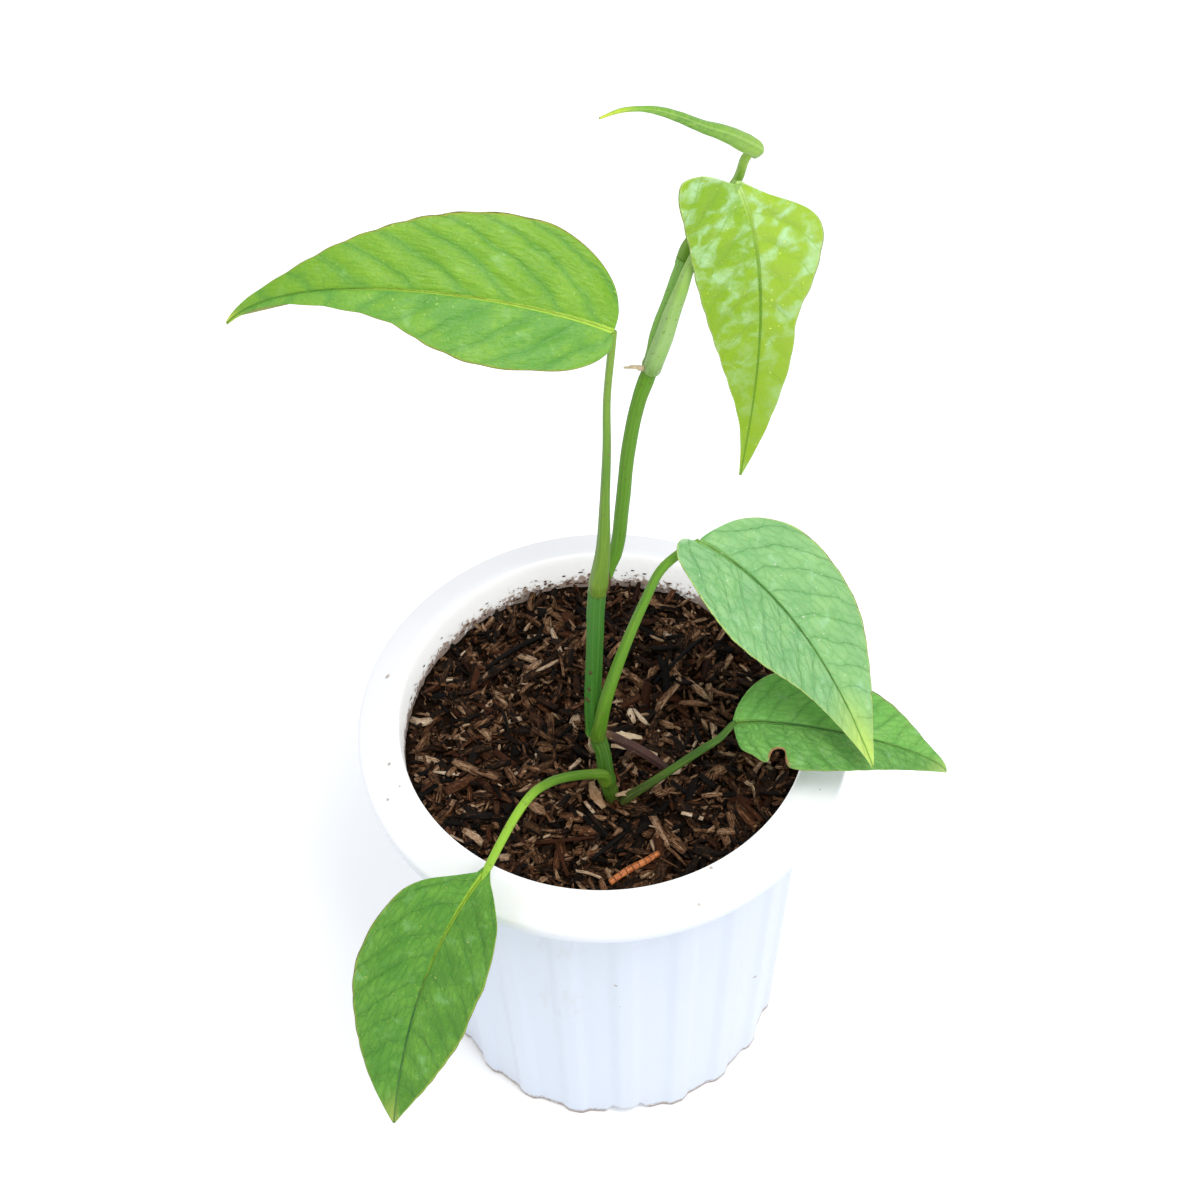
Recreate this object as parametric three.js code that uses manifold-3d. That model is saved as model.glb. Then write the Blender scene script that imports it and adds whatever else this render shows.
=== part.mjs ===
// A small climbing aroid with blue-green leaves, growing in a fluted white plastic pot.
// Millimetres, +Z up. The origin is the centre of the pot's foot, on the surface it stands on,
// and -Y is the front, where the lowest big leaf hangs over the rim.
import * as THREE from 'three';
import { mergeVertices } from 'three/addons/utils/BufferGeometryUtils.js';
import Module from 'manifold-3d';

// Driving sizes of the pot
const POT_HEIGHT = 161.5;
const RIM_RADIUS = 80;
const RIM_DROP = 6.5; // the flange falls this much from its inner to its outer edge
const SKIRT_HEIGHT = 4; // the turned-down edge of the flange
const FOOT_RADIUS = 57.9; // over the ribs
const WALL_TAPER = 0.068; // radius gained per millimetre of height
const WALL_THICKNESS = 1.3;
const RIBS = 20;
const RIB_STAND = 1.5;
const RIB_TURN = 4; // degrees from the front to the nearest rib
const RIB_SAMPLES = [-4.3, -2.9, 2.9, 4.3, 9]; // degrees from a rib's middle
const RIB_SHARES = [0, 1, 1, 0, 0];

// Drainage channels pressed into the flat base, each with a slot in its roof
const CHANNELS = 4;
const CHANNEL_HEIGHT = 5;
const CHANNEL_TOP = 9;
const CHANNEL_FOOT = 17;
const CHANNEL_START = 20;
const BASE_THICKNESS = 1.6;
const SLOT_WIDTH = 5;
const SLOT_START = 28;
const SLOT_END = 44;

// Potting mix
const MIX_LEVEL = 147.5;
const MOUND = 1.6;
const HOLLOW_DEPTH = 7; // the mix has sunk beside the wall at the back right
const HOLLOW_AT = [48, 42];
const HOLLOW_RADIUS = 13;
const MIX_RINGS = [12, 27, 41, 53];
const MIX_SEGMENTS = 28;
const CHIPS = 84;
const CHIP_LENGTH = [6, 14];
const CHIP_WIDTH = [2.2, 4.4];
const CHIP_THICKNESS = [1.6, 2.6];
const CHIP_SEED = 20;

// Clearance between pieces that touch
const GAP = 0.3;

// Leaf blades
const BLADE_THICKNESS = 0.8;
const BLADE_ROWS = 18;
const BLADE_COLUMNS = 3; // on each side of the midrib
const VEIN_LAG = 2.3; // how far a side vein's start trails its end along the blade
const VEIN_BEND = 1.3;
const HOLD = 1.2; // half width of a blade where its stalk holds it
const TIP = 0.4; // half width of a blade at its tip

// The vine: [x, y, z, radius] from the buried foot to the last node
const VINE = [
  [4, -21, 98, 1.8],
  [3, -22, 112, 3.1],
  [2.5, -22.5, 130, 2.5],
  [2, -23, 148.5, 2.6],
  [0.5, -24, 160, 2.7],
  [-0.5, -20, 169.5, 2.4],
  [-2.5, -16, 175.5, 3],
  [-3, -13, 188.5, 2.7],
  [-2, -9.5, 210, 2.6],
  [-1, -6, 230, 2.75],
  [0, -4, 236.5, 3.1],
  [3, -0.5, 241, 2.4],
  [5.5, 1.5, 246, 2.1],
  [8, 5.5, 265.5, 2.1],
  [10, 10, 283, 2.1],
  [13.5, 15, 300, 2.15],
  [17.5, 19.5, 310.5, 2.6],
  [19.5, 22, 322, 2.1],
  [23, 24.5, 332.5, 2.05],
  [27.5, 28, 346, 2.3],
];

// Leaf stalks in the order in which they leave the vine: [x, y, z, radius]
const STALKS = [
  [
    [2.5, -22.5, 138, 1.6],
    [4.5, -25, 145, 1.6],
    [7, -26, 152, 1.6],
    [14.5, -26, 160, 1.45],
    [30.5, -24, 174.5, 1.4],
    [36.5, -22, 178, 1.4],
    [40.5, -20.2, 182.4, 1.3],
  ],
  [
    [0, -25.5, 161, 2.2],
    [-0.5, -26.5, 166, 1.9],
    [-5, -30, 172, 1.55],
    [-14, -39.5, 184, 1.5],
    [-18, -44, 188, 1.5],
    [-22, -48, 189.5, 1.45],
    [-27, -54, 188, 1.4],
    [-36.8, -67.6, 178.4, 1.35],
  ],
  [
    [-2, -18, 175.5, 2.6],
    [-1.2, -18.5, 181, 2.3],
    [1, -18, 195, 2.1],
    [7, -14, 216, 1.75],
    [14, -8, 233, 1.5],
    [19, -4, 242.5, 1.45],
    [25, -1.2, 247, 1.4],
    [30.3, -0.2, 249.8, 1.4],
  ],
  [
    [-0.5, -6.5, 236, 3.1],
    [0, -6.8, 241.5, 3.1],
    [1.5, -5, 254.5, 2.3],
    [2.5, -1, 273.5, 1.6],
    [3.5, 3, 292, 1.35],
    [4, 7, 310, 1.2],
    [6.3, 10, 334.8, 1.4],
  ],
  [
    [18, 17.5, 310.5, 2.7],
    [18.5, 16.5, 316, 2.8],
    [21, 18, 323.5, 2.8],
    [23.5, 19.5, 332.5, 2.5],
    [26, 20.5, 340.5, 2.1],
    [28.5, 22, 348.5, 1.7],
    [38.5, 26, 369.5, 1.4],
    [42, 26.6, 377, 1.4],
  ],
  [
    [27, 28, 344, 2.5],
    [28, 29, 348.5, 2.1],
    [29.5, 30, 351.5, 1.75],
    [33, 32, 357, 1.6],
    [42, 32, 372.5, 1.45],
    [44.5, 30.5, 384, 1.4],
  ],
];

// The bare remains of an older leaf stalk
const WITHERED_STALK = [
  [-1, -14.5, 172.5, 1.3],
  [4, -13.5, 167.5, 1.5],
  [12, -13.8, 160.5, 1.6],
  [20.5, -15, 151, 1.2],
];

// Roots leave the buried foot at these heights and end near the base
const ROOTS = 7;
const ROOT_FOOT = [3, -22];
const ROOT_TOP = 114;
const ROOT_STAGGER = 4;
const ROOT_RADII = [1.1, 1, 0.8, 0.6];
const ROOT_REACH = [0, 9, 20, 30];
const ROOT_FALL = [0, 9, 40, 84];

// Blades. A midrib is the four control points of a cubic curve from the stalk to the tip.
// faces are the ways its upper side looks at the stalk and at the tip. fold lifts each half by so
// many degrees, and droop lowers the margin. The margins are points of [share of the midrib's
// length, distance from the midrib], going from the stalk round to the tip.
const LEAVES = [
  {
    name: 'leaf_1',
    midrib: [[41, -20, 183], [54, -21.5, 190], [105, -26, 175], [109, -26, 161]],
    faces: [[0, -0.3, 0.95], [0.2, -0.25, 0.9]],
    fold: [6, 6],
    droop: 1,
    left: [[0, HOLD], [0.05, 6.6], [0.12, 12.2], [0.2, 16], [0.35, 18.5], [0.5, 16.8],
      [0.61, 13.5], [0.71, 8.6], [0.82, 3.8], [1, TIP]],
    right: [[0, -HOLD], [0.04, -8.3], [0.12, -11.3], [0.203, -13.8], [0.23, -10.5], [0.263, -10.3],
      [0.286, -15.2], [0.45, -13.6], [0.68, -8], [1, -TIP]],
    color: 0x3f7a24,
  },
  {
    name: 'leaf_2',
    midrib: [[-37, -68, 178], [-56, -81, 158], [-66.5, -97, 131], [-70, -118, 110]],
    faces: [[-0.25, -0.45, 0.85], [-0.35, -0.75, 0.5]],
    fold: [8, 8],
    droop: 1.1,
    left: [[0, HOLD], [0.04, 4.7], [0.09, 10.5], [0.17, 15.6], [0.34, 19.2], [0.48, 18.9],
      [0.63, 17.6], [0.81, 11.4], [0.93, 4.8], [1, TIP]],
    right: [[0, -HOLD], [0.07, -3.3], [0.11, -8.5], [0.17, -14.7], [0.25, -19.4], [0.38, -22.3],
      [0.53, -22.6], [0.68, -17.9], [0.84, -10.4], [1, -TIP]],
    color: 0x4a8a28,
  },
  {
    name: 'leaf_3',
    midrib: [[31, 0, 251], [57, -7, 236.5], [74, -21, 206], [83.6, -38, 183]],
    faces: [[0.4, -0.4, 0.82], [0.62, -0.45, 0.64]],
    fold: [10, 10],
    droop: 1.1,
    left: [[0, HOLD], [0.02, 4.5], [0.08, 12], [0.16, 18], [0.27, 22.4], [0.42, 22.6],
      [0.56, 20.2], [0.7, 13.9], [0.88, 5.3], [1, TIP]],
    right: [[0, -HOLD], [-0.045, -4], [-0.03, -8.5], [0.04, -15], [0.14, -19.5], [0.27, -21.9],
      [0.43, -19.8], [0.62, -13], [0.82, -6.5], [1, -TIP]],
    color: 0x86b96a,
  },
  {
    name: 'leaf_4',
    midrib: [[6.5, 10, 336], [-18.5, 12.5, 349.5], [-85.5, 18, 361.5], [-104.5, 20, 333.5]],
    faces: [[0.15, -0.62, 0.78], [0, -0.62, 0.78]],
    fold: [8, 8],
    droop: 2.4,
    left: [[0, HOLD], [-0.01, 5], [0.03, 10.2], [0.11, 15], [0.22, 18.1], [0.34, 18.9],
      [0.45, 15.2], [0.56, 8.6], [0.78, 2.7], [1, TIP]],
    right: [[0, -HOLD], [0.01, -6.5], [0.05, -13], [0.13, -20], [0.23, -24.8], [0.35, -24.9],
      [0.47, -21.7], [0.61, -15], [0.8, -5.2], [1, -TIP]],
    color: 0x5f9f33,
  },
  {
    name: 'leaf_5',
    midrib: [[42, 26, 378], [52.5, 23.5, 348], [49.5, 15, 312.5], [42.5, -5, 288]],
    faces: [[0, -0.85, 0.5], [0.05, -0.95, -0.1]],
    fold: [-14, -14],
    droop: 1.2,
    left: [[0, HOLD], [0.04, 3.7], [0.1, 8.2], [0.19, 17.5], [0.27, 20.2], [0.4, 16.4],
      [0.51, 11.4], [0.66, 10.1], [0.85, 5.8], [1, TIP]],
    right: [[0, -HOLD], [-0.04, -6.5], [-0.055, -14], [0.02, -17], [0.18, -18.4], [0.34, -18.3],
      [0.5, -15.5], [0.66, -10.4], [0.84, -3.5], [1, -TIP]],
    color: 0x9cc832,
  },
];

// The newest leaf is still rolled up: [x, y, z, radius] from its stalk to its tip
const ROLLED_LEAF = [
  [47, 30.2, 384.5, 1.2],
  [47, 29.5, 387.5, 2.4],
  [44, 27.5, 392, 2.8],
  [38, 22, 401.5, 2.35],
  [31.5, 16.5, 410, 1.8],
  [25.5, 12, 418, 1.55],
  [20, 7.5, 425, 1.25],
  [15, 3, 430.5, 0.8],
  [9.5, -2, 435, 0.7],
  [4, -7, 437.5, 0.4],
];
const ROLL_LAP = 0.18; // the outer turn's free edge stands this share of the radius proud

const wasm = await Module();
wasm.setup();

// Turn a closed three.js geometry into a solid, and a solid back into a geometry
function solid(geometry) {
  const bare = geometry.clone();
  bare.deleteAttribute('normal');
  bare.deleteAttribute('uv');
  const merged = mergeVertices(bare, 1e-4);
  const vertProperties = new Float32Array(merged.attributes.position.array);
  const triVerts = new Uint32Array(merged.index.array);
  return new wasm.Manifold(new wasm.Mesh({ numProp: 3, vertProperties, triVerts }));
}

function geometryOf(body) {
  const pieces = body.decompose();
  pieces.sort((a, b) => b.volume() - a.volume());
  const mesh = pieces[0].getMesh();
  const geometry = new THREE.BufferGeometry();
  geometry.setAttribute('position', new THREE.Float32BufferAttribute(mesh.vertProperties, 3));
  geometry.setIndex(Array.from(mesh.triVerts));
  return geometry;
}

function joined(bodies) {
  return bodies.reduce((sum, body) => sum.add(body));
}

// Repeatable random numbers from 0 to 1
function dice(seed) {
  let state = seed;
  return () => {
    state = (state + 0x6d2b79f5) | 0;
    let t = Math.imul(state ^ (state >>> 15), 1 | state);
    t = (t + Math.imul(t ^ (t >>> 7), 61 | t)) ^ t;
    return ((t ^ (t >>> 14)) >>> 0) / 4294967296;
  };
}

// Turn a profile of [radius, height] about the Z axis
function turned(profile, segments) {
  const points = profile.map(([r, z]) => new THREE.Vector2(r, z));
  return new THREE.LatheGeometry(points, segments).rotateX(Math.PI / 2);
}

// A round stalk through points of [x, y, z, radius]: a cylinder bent along a smooth curve.
// grow adds to its radius and lap gives its section a step, as a rolled leaf has.
function stalk(points, sides, { grow = 0, lap = 0, perSpan = 2 } = {}) {
  const curve = new THREE.CatmullRomCurve3(points.map(([x, y, z]) => new THREE.Vector3(x, y, z)));
  const steps = (points.length - 1) * perSpan;
  const centres = [];
  const radii = [];
  for (let i = 0; i <= steps; i += 1) {
    const place = i / perSpan;
    const k = Math.min(Math.floor(place), points.length - 2);
    centres.push(curve.getPoint(i / steps));
    radii.push(THREE.MathUtils.lerp(points[k][3], points[k + 1][3], place - k) + grow);
  }
  const across = new THREE.Vector3(0.2, -1, 0.1);
  const frames = centres.map((centre, i) => {
    const next = centres[Math.min(i + 1, steps)];
    const last = centres[Math.max(i - 1, 0)];
    const along = next.clone().sub(last).normalize();
    across.addScaledVector(along, -across.dot(along)).normalize();
    return { centre, along, side: across.clone(), other: across.clone().cross(along) };
  });
  const geometry = new THREE.CylinderGeometry(1, 1, steps, sides, steps);
  const position = geometry.attributes.position;
  for (let i = 0; i < position.count; i += 1) {
    const ring = Math.round(position.getY(i) + steps / 2);
    const { centre, along, side, other } = frames[ring];
    const x = position.getX(i);
    const z = position.getZ(i);
    const turn = ((Math.atan2(x, z) + 2 * Math.PI + 0.01) % (2 * Math.PI)) / (2 * Math.PI);
    const radius = radii[ring] * (1 + lap * (0.5 - turn));
    const point = centre.clone().addScaledVector(side, x * radius).addScaledVector(other, z * radius);
    const beyond = (ring === steps) - (ring === 0);
    point.addScaledVector(along, beyond * grow);
    position.setXYZ(i, point.x, point.y, point.z);
  }
  return geometry;
}

// The point of a blade at a share of its midrib's length and a distance from the midrib
function bladePoint(leaf, share, offset) {
  const [a, b, c, d] = leaf.midrib.map((p) => new THREE.Vector3(...p));
  const midrib = new THREE.CubicBezierCurve3(a, b, c, d);
  const inside = THREE.MathUtils.clamp(share, 0, 1);
  const along = midrib.getTangent(inside);
  const speed = share < 0 ? b.clone().sub(a).length() * 3 : 0;
  const point = midrib.getPoint(inside).addScaledVector(along, (share - inside) * speed);
  const [atStalk, atTip] = leaf.faces.map((v) => new THREE.Vector3(...v).normalize());
  const up = atStalk.lerp(atTip, inside);
  up.addScaledVector(along, -up.dot(along)).normalize();
  const side = up.clone().cross(along);
  const width = Math.abs(offset);
  const lift = THREE.MathUtils.degToRad(leaf.fold[offset >= 0 ? 0 : 1]);
  point.addScaledVector(side, Math.sign(offset) * width * Math.cos(lift));
  return point.addScaledVector(up, width * Math.sin(lift) - leaf.droop * (width / 22) ** 2);
}

// The vertices round the edge of a plane's grid, clockwise from its first corner
function gridEdge(columns, rows) {
  const width = columns + 1;
  const edge = [];
  for (let c = 0; c < columns; c += 1) {
    edge.push(c);
  }
  for (let r = 0; r < rows; r += 1) {
    edge.push(r * width + columns);
  }
  for (let c = columns; c > 0; c -= 1) {
    edge.push(rows * width + c);
  }
  for (let r = rows; r > 0; r -= 1) {
    edge.push(r * width);
  }
  return edge;
}

// A closed thin blade. Rows of its grid run from the midrib to the margins along the side veins,
// and the lower face repeats the upper one's triangles.
function blade(leaf, grow = 0) {
  const left = new THREE.SplineCurve(leaf.left.map(([s, w]) => new THREE.Vector2(s, w + grow)));
  const right = new THREE.SplineCurve(leaf.right.map(([s, w]) => new THREE.Vector2(s, w - grow)));
  const middle = new THREE.PlaneGeometry(1, 1, 2 * BLADE_COLUMNS, BLADE_ROWS);
  const position = middle.attributes.position;
  for (let i = 0; i < position.count; i += 1) {
    const row = 0.5 - position.getY(i);
    const across = 2 * position.getX(i);
    const margin = (across >= 0 ? left : right).getPoint(row);
    const start = row ** VEIN_LAG;
    const share = start + (margin.x - start) * Math.abs(across) ** VEIN_BEND;
    const point = bladePoint(leaf, share, margin.y * Math.abs(across));
    position.setXYZ(i, point.x, point.y, point.z);
  }
  middle.computeVertexNormals();
  const count = position.count;
  const points = [];
  for (const sign of [1, -1]) {
    for (let i = 0; i < count; i += 1) {
      const normal = new THREE.Vector3().fromBufferAttribute(middle.attributes.normal, i);
      const point = new THREE.Vector3().fromBufferAttribute(position, i);
      point.addScaledVector(normal, sign * (BLADE_THICKNESS / 2 + grow));
      points.push(point.x, point.y, point.z);
    }
  }
  const faces = Array.from(middle.index.array);
  faces.push(...faces.map((corner) => corner + count).reverse());
  const edge = gridEdge(2 * BLADE_COLUMNS, BLADE_ROWS);
  edge.forEach((to, i) => {
    const from = edge[(i + 1) % edge.length];
    faces.push(from, from + count, to + count, from, to + count, to);
  });
  const geometry = new THREE.BufferGeometry();
  geometry.setAttribute('position', new THREE.Float32BufferAttribute(points, 3));
  geometry.setIndex(faces);
  return geometry;
}

// The wall inside the pot
function innerRadius(z) {
  return FOOT_RADIUS - RIB_STAND - WALL_THICKNESS + WALL_TAPER * z;
}

function ribRadius(z) {
  return FOOT_RADIUS + WALL_TAPER * z;
}

// A wedge-sided channel running outwards along the base, enlarged all round by extra
function channel(extra, turn) {
  const top = CHANNEL_TOP / 2 + extra;
  const foot = CHANNEL_FOOT / 2 + extra;
  const shape = new THREE.Shape([
    new THREE.Vector2(-foot, -1),
    new THREE.Vector2(foot, -1),
    new THREE.Vector2(top, CHANNEL_HEIGHT + extra),
    new THREE.Vector2(-top, CHANNEL_HEIGHT + extra),
  ]);
  const start = CHANNEL_START - extra;
  const end = extra > 0 ? innerRadius(0) + 0.8 : FOOT_RADIUS + 5;
  const geometry = new THREE.ExtrudeGeometry(shape, { depth: end - start, bevelEnabled: false });
  return geometry.rotateX(Math.PI / 2).translate(0, -start, 0).rotateZ(turn);
}

function slot(turn) {
  const half = SLOT_WIDTH / 2;
  const shape = new THREE.Shape();
  shape.absarc(0, -SLOT_END + half, half, Math.PI, 0);
  shape.absarc(0, -SLOT_START - half, half, 0, Math.PI);
  const options = { depth: CHANNEL_HEIGHT + 3, bevelEnabled: false, curveSegments: 5 };
  return new THREE.ExtrudeGeometry(shape, options).rotateZ(turn);
}

const channelTurns = Array.from({ length: CHANNELS }, (_, i) => {
  return THREE.MathUtils.degToRad(RIB_TURN + (360 / CHANNELS) * i);
});

// The pot: one moulded shell, fluted outside, with a rolled flange round its mouth
function potShell() {
  const rim = POT_HEIGHT;
  const edge = rim - RIM_DROP;
  const inside = innerRadius(rim);
  const profile = [
    [0, 0, 0],
    [FOOT_RADIUS - 0.9, 0, 1],
    [FOOT_RADIUS, 1, 1],
    [ribRadius(rim - 18), rim - 18, 1],
    [ribRadius(rim - 12) - 0.6, rim - 12, 0.3],
    [ribRadius(rim - 5) - 0.8, rim - 5, 0],
    [RIM_RADIUS - 1.7, edge - 2, 0],
    [RIM_RADIUS - 1.4, edge - SKIRT_HEIGHT, 0],
    [RIM_RADIUS - 0.4, edge - SKIRT_HEIGHT, 0],
    [RIM_RADIUS, edge - 1, 0],
    [RIM_RADIUS - 0.7, edge + 0.7, 0],
    [inside + 2.6, rim - 0.2, 0],
    [inside + 1.2, rim, 0],
    [inside + 0.2, rim - 0.8, 0],
    [inside - 0.2, rim - 3, 0],
    [innerRadius(BASE_THICKNESS + 2), BASE_THICKNESS + 2, 0],
    [innerRadius(BASE_THICKNESS) - 1.6, BASE_THICKNESS, 0],
    [0, BASE_THICKNESS, 0],
  ];
  const perRib = RIB_SAMPLES.length;
  const geometry = turned(profile, RIBS * perRib);
  const position = geometry.attributes.position;
  for (let i = 0; i < position.count; i += 1) {
    const column = Math.floor(i / profile.length) % (RIBS * perRib);
    const [radius, height, ribbed] = profile[i % profile.length];
    const sample = column % perRib;
    const rib = Math.floor(column / perRib);
    const turn = THREE.MathUtils.degToRad(RIB_TURN + (360 / RIBS) * rib + RIB_SAMPLES[sample]);
    const r = radius - ribbed * (1 - RIB_SHARES[sample]) * RIB_STAND;
    position.setXYZ(i, r * Math.sin(turn), -r * Math.cos(turn), height);
  }
  const ridges = channelTurns.map((turn) => solid(channel(WALL_THICKNESS, turn)));
  const channels = channelTurns.map((turn) => solid(channel(0, turn)));
  const slots = channelTurns.map((turn) => solid(slot(turn)));
  const below = solid(new THREE.BoxGeometry(200, 200, 4).translate(0, 0, -2));
  const shell = solid(geometry).add(joined(ridges).subtract(below));
  return shell.subtract(joined(channels)).subtract(joined(slots));
}

// Height of the potting mix before the chips go on: a low mound, uneven, sunk at the back right
function mixHeight(x, y) {
  const reach = Math.hypot(x, y) / innerRadius(MIX_LEVEL);
  const uneven = 0.8 * Math.sin(x / 6.1 + 0.7) * Math.cos(y / 7.3) + 0.6 * Math.sin(x / 3.7 - y / 4.9);
  const apart = Math.hypot(x - HOLLOW_AT[0], y - HOLLOW_AT[1]) / HOLLOW_RADIUS;
  return MIX_LEVEL + MOUND * (1 - reach * reach) + uneven - HOLLOW_DEPTH * Math.exp(-apart * apart);
}

function mixBody() {
  const floor = BASE_THICKNESS + GAP;
  const wall = (z) => innerRadius(z) - GAP;
  const rings = [...MIX_RINGS].reverse();
  const profile = [[0, floor], [wall(floor) - 1.6, floor], [wall(floor + 2), floor + 2]];
  profile.push([wall(MIX_LEVEL), MIX_LEVEL], ...rings.map((r) => [r, MIX_LEVEL]), [0, MIX_LEVEL]);
  const geometry = turned(profile, MIX_SEGMENTS);
  const position = geometry.attributes.position;
  for (let i = 0; i < position.count; i += 1) {
    if (position.getZ(i) > MIX_LEVEL - 1) {
      const level = mixHeight(position.getX(i), position.getY(i));
      const shrink = wall(level) / wall(MIX_LEVEL);
      position.setXYZ(i, position.getX(i) * shrink, position.getY(i) * shrink, level);
    }
  }
  return solid(geometry);
}

// Bark chips scattered over the mix, each sunk about half way in
function chips() {
  const random = dice(CHIP_SEED);
  const between = ([low, high]) => low + (high - low) * random();
  return Array.from({ length: CHIPS }, () => {
    const size = [between(CHIP_LENGTH), between(CHIP_WIDTH), between(CHIP_THICKNESS)];
    const chip = new THREE.BoxGeometry(...size);
    chip.rotateX((random() - 0.5) * 0.9).rotateY((random() - 0.5) * 0.5).rotateZ(random() * Math.PI);
    const reach = (innerRadius(MIX_LEVEL) - 5) * Math.sqrt(random());
    const turn = random() * 2 * Math.PI;
    const x = reach * Math.cos(turn);
    const y = reach * Math.sin(turn);
    return solid(chip.translate(x, y, mixHeight(x, y) + 0.25 + 0.5 * random()));
  });
}

function roots(grow) {
  return Array.from({ length: ROOTS }, (_, i) => {
    const turn = (2 * Math.PI * i) / ROOTS + 0.4;
    const points = ROOT_RADII.map((radius, k) => {
      const swing = turn + 0.25 * k * (i % 2 ? 1 : -1);
      const x = ROOT_FOOT[0] + ROOT_REACH[k] * Math.cos(swing);
      const y = ROOT_FOOT[1] + ROOT_REACH[k] * Math.sin(swing);
      return [x, y, ROOT_TOP - ROOT_STAGGER * (i % 3) - ROOT_FALL[k], radius];
    });
    return solid(stalk(points, 5, { grow, perSpan: 1 }));
  });
}

function vine(grow = 0) {
  return joined([solid(stalk(VINE, 9, { grow })), ...roots(grow)]);
}

const vineRoom = vine(GAP);
const blades = LEAVES.map((leaf) => solid(blade(leaf)));
const rolledLeaf = solid(stalk(ROLLED_LEAF, 12, { lap: ROLL_LAP }));
const bladeRooms = LEAVES.map((leaf) => solid(blade(leaf, GAP)));
bladeRooms.push(solid(stalk(ROLLED_LEAF, 12, { lap: ROLL_LAP, grow: GAP })));

const stalks = STALKS.map((points, i) => {
  return solid(stalk(points, 8)).subtract(vineRoom).subtract(bladeRooms[i]);
});
const stalkRooms = STALKS.map((points) => solid(stalk(points, 8, { grow: GAP })));
const witheredStalk = solid(stalk(WITHERED_STALK, 7)).subtract(vineRoom).subtract(stalkRooms[2]);

// The mix keeps clear of the pot, its raised channels, the vine and the lowest stalks
function pottingMix() {
  const room = joined([vineRoom, stalkRooms[0], solid(stalk(WITHERED_STALK, 7, { grow: GAP }))]);
  const ridges = joined(channelTurns.map((turn) => solid(channel(WALL_THICKNESS + GAP, turn))));
  const top = POT_HEIGHT + 10;
  const mouth = solid(turned([[0, MIX_LEVEL - 20], [innerRadius(MIX_LEVEL - 20) - 2 * GAP, MIX_LEVEL - 20],
    [innerRadius(top) - 2 * GAP, top], [0, top]], MIX_SEGMENTS));
  const scattered = joined(chips()).intersect(mouth);
  return mixBody().add(scattered).subtract(ridges).subtract(room);
}

const finish = {
  plastic: { color: 0xf2f4f8, roughness: 0.35 },
  bark: { color: 0x3a2418, roughness: 0.95 },
  vine: { color: 0x2f6f2a, roughness: 0.5 },
  stalk: { color: 0x76a83a, roughness: 0.45 },
  dry: { color: 0x8a6a48, roughness: 0.9 },
  newLeaf: { color: 0x6fa52c, roughness: 0.4 },
};

const plant = new THREE.Group();

function place(name, body, look) {
  const material = new THREE.MeshStandardMaterial({ metalness: 0, ...look });
  const mesh = new THREE.Mesh(geometryOf(body), material);
  mesh.name = name;
  plant.add(mesh);
}

place('pot', potShell(), finish.plastic);
place('potting_mix', pottingMix(), finish.bark);
place('vine_stem', vine(), finish.vine);
stalks.forEach((body, i) => place(`leaf_stalk_${i + 1}`, body, finish.stalk));
LEAVES.forEach((leaf, i) => place(leaf.name, blades[i], { color: leaf.color, roughness: 0.45 }));
place('leaf_6_rolled', rolledLeaf, finish.newLeaf);
place('withered_stalk', witheredStalk, finish.dry);

export default plant;
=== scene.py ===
import math
import random

import bmesh
import bpy
from mathutils import Matrix, Vector, noise


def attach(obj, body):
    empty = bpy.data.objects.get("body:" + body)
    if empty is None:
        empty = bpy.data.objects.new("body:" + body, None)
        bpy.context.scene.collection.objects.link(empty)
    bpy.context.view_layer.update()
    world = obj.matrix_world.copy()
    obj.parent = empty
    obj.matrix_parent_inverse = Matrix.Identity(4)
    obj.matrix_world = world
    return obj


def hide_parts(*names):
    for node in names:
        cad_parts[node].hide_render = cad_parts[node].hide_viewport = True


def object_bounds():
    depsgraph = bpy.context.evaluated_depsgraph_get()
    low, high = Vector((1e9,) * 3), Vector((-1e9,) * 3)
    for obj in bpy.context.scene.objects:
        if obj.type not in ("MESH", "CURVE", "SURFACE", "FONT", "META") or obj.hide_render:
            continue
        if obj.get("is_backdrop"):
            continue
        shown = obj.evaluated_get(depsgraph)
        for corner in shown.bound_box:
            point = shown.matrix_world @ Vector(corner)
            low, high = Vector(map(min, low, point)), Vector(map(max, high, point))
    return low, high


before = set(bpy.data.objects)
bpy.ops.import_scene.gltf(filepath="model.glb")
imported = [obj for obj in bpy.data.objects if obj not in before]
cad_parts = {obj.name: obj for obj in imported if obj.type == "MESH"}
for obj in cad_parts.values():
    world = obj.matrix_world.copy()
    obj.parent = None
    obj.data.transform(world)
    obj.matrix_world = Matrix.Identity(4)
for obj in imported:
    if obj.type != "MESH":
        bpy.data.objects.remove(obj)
cad_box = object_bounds()
scene = bpy.context.scene

# Studio. The plant stands on a white table in soft light that comes from all round, a little
# more of it from the upper right, and is seen from the front and well above.
CAMERA_AT = (0.00016, -0.6372, 1.0607)
CAMERA_PITCH = 37.265
CAMERA_ROLL = -1.83
CAMERA_LENS = 102.08
SKY_STRENGTH = 0.86
LAMP_AT = (0.32, -0.46, 1.45)
LAMP_SIZE = 0.5
LAMP_POWER = 12
TABLE_GLOW = 0.16
TABLE_HALF = 4000

scene.view_settings.view_transform = "Standard"
camera_data = bpy.data.cameras.new("camera")
camera_data.lens = CAMERA_LENS
camera = bpy.data.objects.new("camera", camera_data)
scene.collection.objects.link(camera)
camera.matrix_world = (
    Matrix.Translation(CAMERA_AT)
    @ Matrix.Rotation(math.radians(CAMERA_PITCH), 4, "X")
    @ Matrix.Rotation(math.radians(CAMERA_ROLL), 4, "Z")
)
scene.camera = camera

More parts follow.
